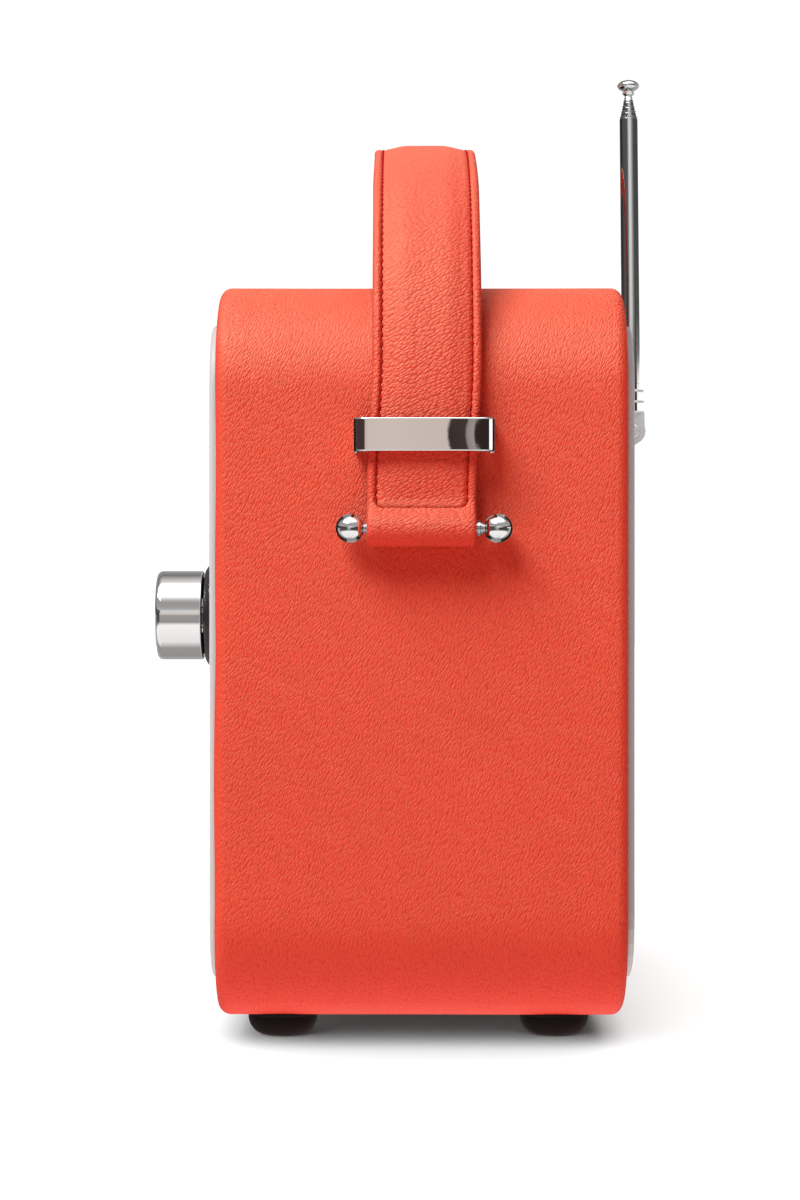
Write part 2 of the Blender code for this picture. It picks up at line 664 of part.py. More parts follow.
def build_knuckle(swivel, pivot):
    """The mast's foot: a flat tongue in the fork, and a ferrule with three thin collars."""
    tongue = []
    for i in range(9):
        angle = math.radians(180 + 180 * i / 8)
        tongue.append((AERIAL_Y + KNUCKLE_R * math.cos(angle), PIVOT_Z + KNUCKLE_R * math.sin(angle)))
    tongue += [(AERIAL_Y + KNUCKLE_R, PIVOT_Z + 5.2), (AERIAL_Y - KNUCKLE_R, PIVOT_Z + 5.2)]
    body = loft([[(AERIAL_X + at, y, z) for y, z in tongue] for at in (-2.4, 2.4)])
    ferrule = [(0, 4.6), (KNUCKLE_R, 4.6)]
    for z in COLLAR_Z:
        low = z - PIVOT_Z
        ferrule += [(3.0, low - 0.55), (3.6, low - 0.45), (3.6, low + 0.25), (3.0, low + 0.35)]
    ferrule += [(3.0, 13.1), (0, 13.1)]
    body = cut(add(body, lathe(ferrule, pivot, "Z", 20)), pin_bore(pivot))
    return mesh_object("aerial_knuckle", leaned(body), "aerial_chrome", pivot, swivel)


def build_tubes(knuckle):
    foot = (AERIAL_X, AERIAL_Y, 0)
    parent = knuckle
    for number, (outer, inner, low, high) in enumerate(TUBES, 1):
        profile = [(inner, low), (outer, low), (outer, high - 0.25), (outer - 0.15, high), (inner, high)]
        tube = leaned(lathe(profile, foot, "Z", 20))
        parent = mesh_object(f"aerial_tube_{number}", tube, "aerial_chrome", on_mast(low), parent)
    rod = [(0, ROD_LOW), (ROD_R, ROD_LOW), (ROD_R, 252.6), (1.35, 253.2), (1.6, 254.4)]
    button = [(2.75, 254.9), (2.9, 255.6), (2.75, 256.5), (1.8, 257.3), (0, TIP_TOP)]
    tip = leaned(lathe(rod + button, foot, "Z", 18))
    mesh_object("aerial_rod", tip, "aerial_chrome", on_mast(ROD_LOW), parent)


# ---- strap handle ----


def arch_half():
    """The outer line of the strap from the top of the arch down the right side to its roll, as (x, z)."""
    a = SIDE + STRAP_OUT
    dense = []
    for i in range(401):
        t = math.pi / 2 * (1 - i / 400)
        x = a * math.cos(t) ** (2 / ARCH_POWER)
        z = ARCH_FROM + ARCH_HIGH * math.sin(t) ** (2 / ARCH_POWER)
        dense.append((x, z))
    entry = math.radians(ROLL_ENTRY)
    end = Vector((ROLL_X + ROLL_R * math.cos(entry), ROLL_Z + ROLL_R * math.sin(entry)))
    start = Vector((a, ARCH_FROM))
    pull_a = start + Vector((0, -3.0))
    pull_b = end - 2.2 * Vector((math.sin(entry), -math.cos(entry)))
    for i in range(1, 21):
        u = i / 20
        v = 1 - u
        dense.append(tuple(v**3 * start + 3 * u * v * v * pull_a + 3 * u * u * v * pull_b + u**3 * end))
    return dense


def spaced(points, step):
    """Points at even distances along a line of dense points."""
    line = np.array(points)
    along = np.concatenate([[0], np.cumsum(np.linalg.norm(np.diff(line, axis=0), axis=1))])
    at = np.linspace(0, along[-1], int(math.ceil(along[-1] / step)) + 1)
    return np.stack([np.interp(at, along, line[:, k]) for k in range(2)], axis=1)


def normals(line):
    """The outward unit normal at each point of a line that runs clockwise round the arch."""
    along = np.gradient(line, axis=0)
    along /= np.linalg.norm(along, axis=1)[:, None]
    return np.stack([-along[:, 1], along[:, 0]], axis=1)


def strap_stations():
    """The stations of the right half of the strap: those that carry the centre, and those of its roll."""
    dense = arch_half()
    arch = spaced([p for p in dense if p[1] >= CENTRE_END], 9.0)
    bend = spaced([p for p in dense if p[1] < CENTRE_END], 1.4)
    roll = []
    for angle in np.radians(np.arange(ROLL_ENTRY - 18, -237, -18)):
        roll.append((ROLL_X + ROLL_R * math.cos(angle), ROLL_Z + ROLL_R * math.sin(angle)))
    return arch, np.concatenate([bend, roll])


def strap_section(channel, thick):
    """The outline of the strap, as (across, outward). The channel goes from 0 (flat) to 1 (full)."""
    deep = CHANNEL * channel
    wide = CENTRE_HALF + GAP
    side = STRAP_HALF
    inner = -thick
    right = [(side - 0.7, inner), (side, inner + 0.7), (side, -0.8), (side - 0.8, 0), (wide + 0.5, -0.01)]
    right += [(wide, -0.4 * channel - 0.02), (wide, -deep - 0.04)]
    left = [(-u, v) for u, v in reversed(right)]
    return right + left


def placed(section, point, normal, sx):
    """A section set square to the strap's line, in the frame."""
    loop = []
    for across, outward in section:
        x, z = np.array(point) + np.array(normal) * outward
        loop.append((sx * x, STRAP_Y + across, z))
    return loop


def both_sides(rows):
    """The loops of a whole strap, from rows of (section, point, normal) for its right half."""
    left = [placed(*row, -1) for row in reversed(rows[1:])]
    return left + [placed(*row, 1) for row in rows]


def build_strap_base():
    arch, tail = strap_stations()
    line = np.concatenate([arch, tail])
    out = normals(line)
    out[0] = (0, 1)
    rows = []
    for i, (point, normal) in enumerate(zip(line, out)):
        past = i - len(arch) + 1
        channel = 1.0 if past <= 0 else 0.0
        thick = STRAP_THICK if past <= 0 else max(ROLL_THICK, STRAP_THICK - 0.75 * past)
        rows.append((strap_section(channel, thick), point, normal))
    strap = mesh_object("strap_base", loft(both_sides(rows)), "strap_leather", (0, STRAP_Y, KEEPER_Z))
    return strap, arch, out[: len(arch)]


def build_strap_pad(strap, arch, out):
    """The padded centre, which sits in the strap's channel and is crowned."""
    last = float(np.linalg.norm(arch[-1] - arch[-2]))
    stations = [(point, normal, 0.0) for point, normal in zip(arch[:-1], out[:-1])]
    for back, narrower in ((2.2, 0.0), (0.9, 0.5), (0.5, 1.6)):
        u = 1 - back / last
        stations.append((arch[-2] + u * (arch[-1] - arch[-2]), out[-2] + u * (out[-1] - out[-2]), narrower))
    bottom = -CHANNEL + GAP - 0.04
    rows = []
    for point, normal, narrower in stations:
        wide = CENTRE_HALF - narrower
        crown = CENTRE_PROUD * (1 - 0.45 * narrower)
        section = [(wide, bottom), (wide, -0.5), (wide * 0.86, crown * 0.55)]
        section += [(wide * 0.5, crown * 0.92), (0, crown)]
        section += [(-u, v) for u, v in reversed(section[:-1])]
        rows.append((section, point, normal))
    mesh_object("strap_pad", loft(both_sides(rows)), "strap_leather", (0, STRAP_Y, KEEPER_Z), strap)


def keeper_outline(sx):
    """The keeper's U in the XY plane: two legs into the cabinet and a flat front."""
    tip = SIDE - KEEPER_IN
    flat = SIDE + KEEPER_OUT
    points = []
    for inset, sense in ((0.0, 1), (KEEPER_THICK, -1)):
        radius = KEEPER_BEND - inset
        half = KEEPER_HALF - inset
        x = flat - inset
        run = [(tip, -half)]
        for i in range(7):
            angle = math.radians(-90 + 90 * i / 6)
            run.append((x - radius + radius * math.cos(angle), -half + radius + radius * math.sin(angle)))
        for i in range(7):
            angle = math.radians(90 * i / 6)
            run.append((x - radius + radius * math.cos(angle), half - radius + radius * math.sin(angle)))
        run.append((tip, half))
        points += run if sense == 1 else list(reversed(run))
    return [(sx * x, STRAP_Y + y) for x, y in points]


def build_keepers():
    for side, sx in (("right", 1), ("left", -1)):
        outline = keeper_outline(sx)
        edge = 0.25
        low, high = KEEPER_Z - KEEPER_HIGH / 2, KEEPER_Z + KEEPER_HIGH / 2
        loops = [[(x, y, z) for x, y in outline] for z in (low, high)]
        band = loft(loops)
        rims = [e for e in band.edges if abs(e.verts[0].co.z - e.verts[1].co.z) < 1e-6]
        bmesh.ops.bevel(band, geom=rims, offset=edge, segments=1, affect="EDGES")
        mesh_object(f"keeper_{side}", band, "chrome")


def build_stops(strap):
    """A bar through each roll of the strap, with a ball on both ends."""
    for side, sx in (("right", 1), ("left", -1)):
        centre = (sx * ROLL_X, STRAP_Y, ROLL_Z)
        end = BALL_SPAN - 0.6
        half = [(BAR_R, COLLAR_AT), (1.9, COLLAR_AT), (1.9, COLLAR_AT + 1.1), (1.2, COLLAR_AT + 1.2)]
        half += [(1.2, end), (0, end)]
        profile = [(radius, -along) for radius, along in reversed(half)] + half
        bar = mesh_object(f"stop_bar_{side}", lathe(profile, centre, "Y", 16), "chrome", centre, strap)
        for name, sy in (("front", -1), ("rear", 1)):
            hole = math.asin(1.5 / BALL_R)
            profile = []
            for i in range(10):
                angle = hole + (math.pi - hole) * i / 9
                profile.append((BALL_R * math.sin(angle), -BALL_R * math.cos(angle)))
            profile[-1] = (0, BALL_R)
            profile = [(0, -0.3), (1.5, -0.3)] + profile
            profile = [(radius, sy * along) for radius, along in profile]
            ball = lathe(profile, (centre[0], STRAP_Y + sy * BALL_SPAN, ROLL_Z), "Y", 18)
            mesh_object(f"stop_ball_{side}_{name}", ball, "chrome", centre, bar)


def build():
    clear_scene()
    build_cabinet()
    build_leather()
    build_front_panel()
    build_rear_panel()
    build_screws()
    build_feet()
    build_grille()
    build_speaker()
    build_display()
    build_control_board()
    shaft, pivot = build_encoder()
    build_knob(shaft, pivot)
    build_bezel()
    build_buttons()
    build_main_board()
    build_battery_bay()
    build_battery_door()
    swivel, hinge = build_aerial()
    build_tubes(build_knuckle(swivel, hinge))
    strap, arch, out = build_strap_base()
    build_strap_pad(strap, arch, out)
    build_keepers()
    build_stops(strap)


build()
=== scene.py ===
"""The looks of the leather-wrapped portable radio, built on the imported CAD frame."""

import json
import math

import bmesh
import bpy
import numpy as np
from mathutils import Matrix, Vector, noise


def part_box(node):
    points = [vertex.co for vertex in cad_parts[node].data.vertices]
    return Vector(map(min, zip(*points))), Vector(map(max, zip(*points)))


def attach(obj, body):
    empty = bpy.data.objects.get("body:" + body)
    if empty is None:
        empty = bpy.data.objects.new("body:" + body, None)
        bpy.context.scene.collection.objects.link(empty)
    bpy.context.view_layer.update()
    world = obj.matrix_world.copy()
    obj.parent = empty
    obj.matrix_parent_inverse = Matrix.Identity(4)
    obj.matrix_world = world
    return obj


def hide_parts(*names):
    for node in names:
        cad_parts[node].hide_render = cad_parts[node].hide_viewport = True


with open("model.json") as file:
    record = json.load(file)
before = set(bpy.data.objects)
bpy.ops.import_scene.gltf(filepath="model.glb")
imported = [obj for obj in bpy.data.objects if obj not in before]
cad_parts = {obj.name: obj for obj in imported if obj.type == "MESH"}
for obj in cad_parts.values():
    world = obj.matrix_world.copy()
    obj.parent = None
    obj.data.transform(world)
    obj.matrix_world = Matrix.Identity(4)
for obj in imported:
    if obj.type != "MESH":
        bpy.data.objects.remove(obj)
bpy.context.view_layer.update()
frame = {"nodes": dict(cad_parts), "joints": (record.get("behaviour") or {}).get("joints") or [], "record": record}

MM = 0.001


def middle(node):
    """The centre of a CAD node's box."""
    low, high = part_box(node)
    return (low + high) / 2


# Driving sizes, all read from the frame, in metres
WRAP_LOW, WRAP_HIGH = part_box("leather_wrap")
SIDE = WRAP_HIGH.x
BOTTOM = WRAP_LOW.z
TOP = WRAP_HIGH.z
MID_Y = (WRAP_LOW.y + WRAP_HIGH.y) / 2
MID_Z = (BOTTOM + TOP) / 2
HALF_DEPTH = (WRAP_HIGH.y - WRAP_LOW.y) / 2
FRONT_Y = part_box("front_panel")[0].y
PANEL_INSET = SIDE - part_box("front_panel")[1].x
PANEL_PROUD = MID_Y - HALF_DEPTH - FRONT_Y
PANEL_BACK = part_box("front_panel")[1].y - FRONT_Y
CORNER = 28 * MM
LEATHER = 1.2 * MM
EDGE_ROUND = 3.0 * MM
FOLD_IN = 13.0 * MM

KNOB = middle("control_knob")
KNOB_R = (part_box("control_knob")[1].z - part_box("control_knob")[0].z) / 2
BAR = middle("stop_bar_right")
KEEPER_BOW = 0.30 * MM
STRAP_Y = middle("strap_base").y
KEEPER = middle("keeper_right")
KEEPER_LOW, KEEPER_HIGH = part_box("keeper_right")
PIVOT = middle("aerial_pin")
JOINTS = {row["name"]: row for row in frame["joints"]}
MAST_LEAN = Vector((0, 0, 1)).rotation_difference(Vector(JOINTS["aerial_slide_2"]["axis"])).to_matrix()


# ---- meshes ----


def finish_mesh(bm, name, material, smooth=40):
    """An object of a bmesh, with its faces turned out and its round stretches smooth."""
    bmesh.ops.recalc_face_normals(bm, faces=bm.faces)
    mesh = bpy.data.meshes.new(name)
    bm.to_mesh(mesh)
    bm.free()
    mesh.shade_smooth()
    mesh.set_sharp_from_angle(angle=math.radians(smooth))
    mesh.materials.append(material)
    thing = bpy.data.objects.new(name, mesh)
    bpy.context.scene.collection.objects.link(thing)
    return thing


def true_flats(thing):
    """Keeps flat faces flat in the shading, so that a polished face mirrors like a real one."""
    even = thing.modifiers.new("even_normals", "WEIGHTED_NORMAL")
    even.keep_sharp = True
    even.weight = 100
    return thing


def loft(loops, closed=False, uv=None):
    """A bmesh through loops of points. uv, if given, is an array (loops, points + 1, 2) in metres."""
    loops = np.asarray(loops, float)
    count, around = loops.shape[:2]
    bm = bmesh.new()
    verts = [bm.verts.new(p) for p in loops.reshape(-1, 3)]
    layer = bm.loops.layers.uv.new("grain") if uv is not None else None
    for i in range(count if closed else count - 1):
        for j in range(around):
            nxt, up = (j + 1) % around, (i + 1) % count
            quad = (i * around + j, i * around + nxt, up * around + nxt, up * around + j)
            face = bm.faces.new([verts[k] for k in quad])
            if layer is None:
                continue
            for corner, (row, column) in zip(face.loops, ((i, j), (i, j + 1), (i + 1, j + 1), (i + 1, j))):
                corner[layer].uv = uv[row][column]
    if not closed:
        bm.faces.new([verts[j] for j in range(around)][::-1])
        bm.faces.new([verts[(count - 1) * around + j] for j in range(around)])
    return bm


# Turns that lay a lathe's own axis, which is Z, along each axis
AXES = {
    "X": Matrix.Rotation(math.pi / 2, 3, "Y"),
    "Y": Matrix.Rotation(-math.pi / 2, 3, "X"),
    "Z": Matrix.Identity(3),
}


def lathe(profile, centre, axis, segments=64):
    """A turned bmesh. The profile's points are (radius, along) in millimetres from the centre."""
    turn = AXES[axis]
    bm = bmesh.new()
    rings = []
    for radius, along in profile:
        count = 1 if radius < 1e-6 else segments
        ring = []
        for i in range(count):
            angle = 2 * math.pi * i / segments
            point = Vector((radius * math.cos(angle), radius * math.sin(angle), along)) * MM
            ring.append(bm.verts.new(centre + turn @ point))
        rings.append(ring)
    pairs = list(zip(rings, rings[1:]))
    if len(rings[0]) > 1:
        pairs.append((rings[-1], rings[0]))
    for first, second in pairs:
        for i in range(segments):
            j = (i + 1) % segments
            if len(first) == 1:
                bm.faces.new((first[0], second[i], second[j]))
            elif len(second) == 1:
                bm.faces.new((second[0], first[i], first[j]))
            else:
                bm.faces.new((first[i], first[j], second[j], second[i]))
    return bm


def softened(profile, radius, steps=4):
    """The profile with its inner corners rounded by up to radius, in millimetres."""
    points = [Vector(p) for p in profile]
    out = [profile[0]]
    for before, here, after in zip(points, points[1:], points[2:]):
        cut = min(radius, (before - here).length * 0.45, (after - here).length * 0.45)
        start = here + (before - here).normalized() * cut
        end = here + (after - here).normalized() * cut
        for i in range(steps + 1):
            u = i / steps
            out.append(tuple((1 - u) ** 2 * start + 2 * u * (1 - u) * here + u * u * end))
    return out + [profile[-1]]


def cut(thing, *tools):
    """Takes the tools, which are bmeshes, away from an object's mesh."""
    whole = bmesh.new()
    for tool in tools:
        bmesh.ops.recalc_face_normals(tool, faces=tool.faces)
        carrier = bpy.data.meshes.new("carrier")
        tool.to_mesh(carrier)
        whole.from_mesh(carrier)
        bpy.data.meshes.remove(carrier)
    mesh = bpy.data.meshes.new("tool")
    whole.to_mesh(mesh)
    cutter = bpy.data.objects.new("tool", mesh)
    bpy.context.scene.collection.objects.link(cutter)
    change = thing.modifiers.new("cut", "BOOLEAN")
    change.solver = "EXACT"
    change.object = cutter
    bpy.context.view_layer.update()
    result = bpy.data.meshes.new_from_object(thing.evaluated_get(bpy.context.evaluated_depsgraph_get()))
    thing.modifiers.clear()
    thing.data = result
    bpy.data.objects.remove(cutter, do_unlink=True)
    return thing


def running(points):
    """The distance along a line of points to each of them."""
    return np.concatenate([[0], np.cumsum(np.linalg.norm(np.diff(np.array(points), axis=0), axis=1))])


def rounded(width, height, radius, steps, straight=1):
    """A rounded rectangle about (0, 0), with its straight runs split, and the distance along it."""
    points = []
    for sx, sz, start in ((1, -1, 270), (1, 1, 0), (-1, 1, 90), (-1, -1, 180)):
        for i in range(steps + 1):
            angle = math.radians(start + 90 * i / steps)
            x = sx * (width / 2 - radius) + radius * math.cos(angle)
            points.append((x, sz * (height / 2 - radius) + radius * math.sin(angle)))
    out = []
    for i, here in enumerate(points):
        out.append(here)
        after = points[(i + 1) % len(points)]
        if i % (steps + 1) == steps:
            for k in range(1, straight):
                out.append(tuple(np.array(here) + (np.array(after) - np.array(here)) * k / straight))
    line = np.array(out)
    steps_along = np.linalg.norm(np.roll(line, -1, axis=0) - line, axis=1)
    return line, np.concatenate([[0], np.cumsum(steps_along)])


def cabinet_loop(inset, y, radius=None, steps=16, straight=1):
    """The cabinet's outline at a depth, inset all round, and the distance along it."""
    corner = CORNER - inset if radius is None else radius
    line, along = rounded(2 * (SIDE - inset), TOP - BOTTOM - 2 * inset, corner, steps, straight)
    loop = np.stack([line[:, 0], np.full(len(line), y), MID_Z + line[:, 1]], axis=1)
    return loop, along


def plate(centre, size, radius, low, high):
    """A rounded plate in the XZ plane between two depths, in metres."""
    line, _ = rounded(size[0], size[1], radius, 6)
    return loft([[(centre[0] + x, y, centre[1] + z) for x, z in line] for y in (low, high)])


# ---- materials ----


class Graph:
    """A material's or a world's node tree, with short ways to add and join nodes."""

    def __init__(self, name, world=None):
        self.material = world or bpy.data.materials.new(name)
        self.material.use_nodes = True
        self.tree = self.material.node_tree
        self.shader = self.tree.nodes["Background" if world else "Principled BSDF"]

    def node(self, kind, inputs=None, **settings):
        made = self.tree.nodes.new("ShaderNode" + kind)
        for key, value in settings.items():
            setattr(made, key, value)
        for key, value in (inputs or {}).items():
            self.join(made.inputs[key], value)
        return made

    def join(self, socket, value):
        if isinstance(value, bpy.types.Node):
            value = value.outputs[0]
        if isinstance(value, bpy.types.NodeSocket):
            self.tree.links.new(value, socket)
        else:
            socket.default_value = value

    def math(self, operation, a, b=0.5):
        return self.node("Math", {0: a, 1: b}, operation=operation)

    def ramp(self, value, *stops):
        made = self.node("ValToRGB", {0: value})
        while len(made.color_ramp.elements) < len(stops):
            made.color_ramp.elements.new(0.5)
        for element, (place, shade) in zip(made.color_ramp.elements, stops):
            element.position = place
            element.color = (shade, shade, shade, 1) if isinstance(shade, float) else (*shade, 1)
        return made

    def curve(self, value, *stops):
        """A ramp whose stops are given in the value's own units."""
        low, high = stops[0][0], stops[-1][0]
        even = self.node("MapRange", {"Value": value, "From Min": low, "From Max": high})
        return self.ramp(even, *(((place - low) / (high - low), shade) for place, shade in stops))

    def mix(self, amount, a, b):
        return self.node("Mix", {0: amount, 6: a, 7: b}, data_type="RGBA").outputs[2]

    def set(self, **sockets):
        for name, value in sockets.items():
            self.join(self.shader.inputs[name.replace("_", " ")], value)
        return self


def varied(graph, coordinates, colour, spread, scale):
    """A colour that drifts a little between darker and lighter over the surface."""
    drift = graph.node("TexNoise", {"Vector": coordinates, "Scale": scale, "Detail": 3.0})
    dark = tuple(c * (1 - spread) for c in colour)
    light = tuple(min(1.0, c * (1 + spread)) for c in colour)
    return graph.ramp(drift, (0.3, dark), (0.7, light))


def leather(name, colour, angle, along, across, depth):
    """Grained leather: long soft pebbles at an angle to the hide, with thin creases between them; the creases and
    low ground are painted darker and redder, as painted shade.
    """
    g = Graph(name)
    hide = g.node("UVMap", uv_map="grain")
    sway = g.node("TexNoise", {"Vector": hide, "Scale": 140.0, "Detail": 2.0})
    shift = g.node("VectorMath", {0: sway.outputs["Color"], 1: (0.5, 0.5, 0.5)}, operation="SUBTRACT")
    small = g.node("VectorMath", {0: shift, "Scale": 0.0020}, operation="SCALE")
    bent = g.node("VectorMath", {0: hide, 1: small}, operation="ADD")
    turned = g.node("VectorRotate", {"Vector": bent, "Angle": math.radians(-angle)}, rotation_type="Z_AXIS")
    laid = g.node("VectorMath", {0: turned, 1: (1 / along, 1 / across, 1.0)}, operation="MULTIPLY")
    cell = {"Vector": laid, "Scale": 1.0, "Randomness": 0.95}
    pebble = g.node("TexVoronoi", cell, voronoi_dimensions="2D", feature="F1")
    crease = g.node("TexVoronoi", cell, voronoi_dimensions="2D", feature="DISTANCE_TO_EDGE")
    mound = g.math("SUBTRACT", 1.0, pebble.outputs["Distance"])
    valley = g.ramp(crease.outputs["Distance"], (0.0, 0.0), (0.20, 1.0))
    wrinkle = g.node("TexNoise", {"Vector": laid, "Scale": 0.9, "Detail": 2.0, "Roughness": 0.55})
    body = g.math("ADD", g.math("MULTIPLY", mound, 0.75), g.math("MULTIPLY", valley, 0.25))
    height = g.math("ADD", body, g.math("MULTIPLY", wrinkle, 0.7))
    pore = g.node("TexNoise", {"Vector": hide, "Scale": 3200.0, "Detail": 1.0})
    height = g.math("ADD", height, g.math("MULTIPLY", pore, 0.05))
    bump = g.node("Bump", {"Strength": 1.0, "Distance": depth, "Height": height})
    tone = varied(g, hide, colour, 0.03, 30.0)
    # Painted shade: the grain's valleys get a darker, redder copy of the colour, standing in for the shadow that
    # falls into the creases.
    deep = tuple(c * k for c, k in zip(colour, (0.84, 0.66, 0.66)))
    shade = g.ramp(height, (0.55, 0.0), (1.15, 1.0))
    paint = g.node("Mix", {0: shade, 6: (*deep, 1), 7: tone}, data_type="RGBA")
    rough = g.ramp(height, (0.4, 0.76), (1.0, 0.66))
    g.set(Base_Color=paint.outputs[2], Roughness=rough, Normal=bump, Specular_IOR_Level=0.3)
    return g.material


def plastic(name, colour, rough, grain=0.00004, fineness=2600.0, gloss=0.5):
    """Moulded plastic or rubber with a fine etched skin."""
    g = Graph(name)
    place = g.node("TexCoord").outputs["Object"]
    etch = g.node("TexNoise", {"Vector": place, "Scale": fineness, "Detail": 2.0})
    bump = g.node("Bump", {"Strength": 0.5, "Distance": grain, "Height": etch})
    wear = g.node("TexNoise", {"Vector": place, "Scale": 45.0, "Detail": 4.0})
    roughness = g.ramp(wear, (0.3, rough - 0.05), (0.7, rough + 0.07))
    paint = varied(g, place, colour, 0.025, 25.0)
    g.set(Base_Color=paint, Roughness=roughness, Normal=bump, Specular_IOR_Level=gloss)
    return g.material


def metal(name, colour, rough, smear=0.03):
    """Polished or plated metal with faint haze and hairline scratches."""
    g = Graph(name)
    place = g.node("TexCoord").outputs["Object"]
    haze = g.node("TexNoise", {"Vector": place, "Scale": 120.0, "Detail": 4.0})
    roughness = g.ramp(haze, (0.35, rough), (0.75, rough + smear))
    hair = g.node("TexNoise", {"Vector": place, "Scale": 900.0, "Detail": 3.0})
    bump = g.node("Bump", {"Strength": 0.15, "Distance": 0.000004, "Height": hair})
    g.set(Base_Color=varied(g, place, colour, 0.02, 60.0), Roughness=roughness, Normal=bump, Metallic=1.0)
    return g.material


def brushed(name, colour, rough):
    """Metal brushed along X, for the grille."""
    g = Graph(name)
    place = g.node("TexCoord").outputs["Object"]
    lines = g.node("VectorMath", {0: place, 1: (60.0, 4000.0, 4000.0)}, operation="MULTIPLY")
    stroke = g.node("TexNoise", {"Vector": lines, "Scale": 1.0, "Detail": 3.0})
    bump = g.node("Bump", {"Strength": 0.25, "Distance": 0.00002, "Height": stroke})
    roughness = g.ramp(stroke, (0.3, rough - 0.06), (0.7, rough + 0.08))
    g.set(Base_Color=varied(g, place, colour, 0.05, 40.0), Roughness=roughness, Normal=bump, Metallic=1.0)
    return g.material


LEATHER_RED = (0.80, 0.036, 0.010)
STRAP_RED = (0.75, 0.031, 0.009)
M = {
    "leather": leather("leather", LEATHER_RED, -26, 0.0016, 0.00052, 0.00015),
    "strap_leather": leather("strap_leather", STRAP_RED, 58, 0.0015, 0.00075, 0.00019),
    # The panels' off-white is tinted pink: partly the plastic's own colour, partly painted red bounce from the
    # leather, which is kept from bouncing light.
    "panel_white": plastic("panel_white", (0.625, 0.56, 0.55), 0.42),
    "chrome": metal("chrome", (0.86, 0.845, 0.83), 0.035),
    "keeper_chrome": metal("keeper_chrome", (0.86, 0.845, 0.83), 0.012, 0.01),
    "aerial_chrome": metal("aerial_chrome", (0.80, 0.79, 0.79), 0.06),
    "black_plastic": plastic("black_plastic", (0.012, 0.011, 0.012), 0.38),
    "foot_rubber": plastic("foot_rubber", (0.011, 0.003, 0.003), 0.6, 0.00006, 1500.0, 0.08),
    "grille_metal": brushed("grille_metal", (0.62, 0.61, 0.60), 0.32),
    "satin_nickel": metal("satin_nickel", (0.90, 0.89, 0.88), 0.55),
    "screw_steel": metal("screw_steel", (0.45, 0.45, 0.46), 0.22),
    "thread": plastic("thread", (0.46, 0.014, 0.010), 0.9, 0.00008, 6000.0, 0.03),
}


# ---- placing pieces ----


def settle(thing, body, slot, *nodes):
    """Makes a piece ride on its body and stand for its CAD nodes."""
    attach(thing, body)
    if nodes:
        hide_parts(*nodes)
    return thing


def lean_with_mast(thing):
    """Turns an upright aerial piece about the pin, so that it leans as the CAD mast does."""
    thing.data.transform(Matrix.Translation(PIVOT) @ MAST_LEAN.to_4x4() @ Matrix.Translation(-PIVOT))
    return thing


# ---- cabinet ----


def swell(arc, y):
    """How far the glued leather stands off its board, in metres: soft, slow waves."""
    wave = noise.noise(Vector((arc * 9, y * 14, 3.1))) + 0.5 * noise.noise(Vector((arc * 24, y * 30, 8.4)))
    return 0.22 * MM * wave


def front_stretch(z):
    """How far forward the leather's front edge stands: more lower down, where it's less tightly drawn."""
    drawn = 1 - smoothstep(z, 0.084, 0.104)
    return (0.17 + 0.26 * drawn + 0.10 * math.sin(z / 0.0085)) * MM


def keeper_slots():
    """Tools for the narrow slots in the leather that the keepers' legs go through."""
    tools = []
    thick = 1.1 * MM + 0.08 * MM
    for sx in (-1, 1):
        for y in (KEEPER_LOW.y + 0.55 * MM, KEEPER_HIGH.y - 0.55 * MM):
            bm = bmesh.new()
            bmesh.ops.create_cube(bm, size=1.0)
            size = Vector((6 * MM, thick, KEEPER_HIGH.z - KEEPER_LOW.z + 0.08 * MM))
            for vert in bm.verts:
                vert.co = Vector(a * b for a, b in zip(vert.co, size)) + Vector((sx * SIDE, y, KEEPER.z))
            tools.append(bm)
    return tools


def build_wrap():
    """The leather band: turned in over the front and rear edges, and lying on the board in soft waves."""
    rows = []
    for i in range(9):
        angle = math.radians(90 * i / 8)
        rows.append((EDGE_ROUND * (1 - math.sin(angle)), HALF_DEPTH - EDGE_ROUND * (1 - math.cos(angle))))
    flat = np.linspace(rows[-1][1], -rows[-1][1], 25)[1:-1]
    inner = HALF_DEPTH - LEATHER
    profile = [(FOLD_IN, HALF_DEPTH), (FOLD_IN * 0.6, HALF_DEPTH)] + rows
    profile += [(0.0, y) for y in flat]
    profile += [(inset, -y) for inset, y in reversed(rows)]
    profile += [(FOLD_IN * 0.6, -HALF_DEPTH), (FOLD_IN, -HALF_DEPTH)]
    profile += [(FOLD_IN, -inner), (LEATHER, -inner), (LEATHER, inner), (FOLD_IN, inner)]
    outer = len(profile) - 4
    _, true_along = cabinet_loop(0.0, 0.0, None, 20, 26)
    loops, uv, across = [], [], 0.0
    for k, (inset, y) in enumerate(profile):
        loop, _ = cabinet_loop(inset, MID_Y + y, None, 20, 26)
        if k:
            across += math.hypot(inset - profile[k - 1][0], y - profile[k - 1][1])
        if inset <= EDGE_ROUND and k < outer:
            for i, point in enumerate(loop):
                radial = np.array([point[0], 0.0, point[2] - MID_Z])
                radial /= np.linalg.norm(radial)
                sag = 0.3 * MM * max(0.0, -radial[2]) ** 8
                edge = smoothstep(-y, 0.8 * HALF_DEPTH, HALF_DEPTH)
                point += radial * (swell(true_along[i], y) * (inset < LEATHER) + sag)
                point[1] -= edge * front_stretch(point[2]) if y < 0 else 0.0
        loops.append(loop)
        uv.append([(a, across) for a in true_along])
    uv.append(uv[0])
    wrap = finish_mesh(loft(loops, closed=True, uv=uv), "wrap", M["leather"], 60)
    return settle(cut(wrap, *keeper_slots()), "cabinet", "leather", "leather_wrap")


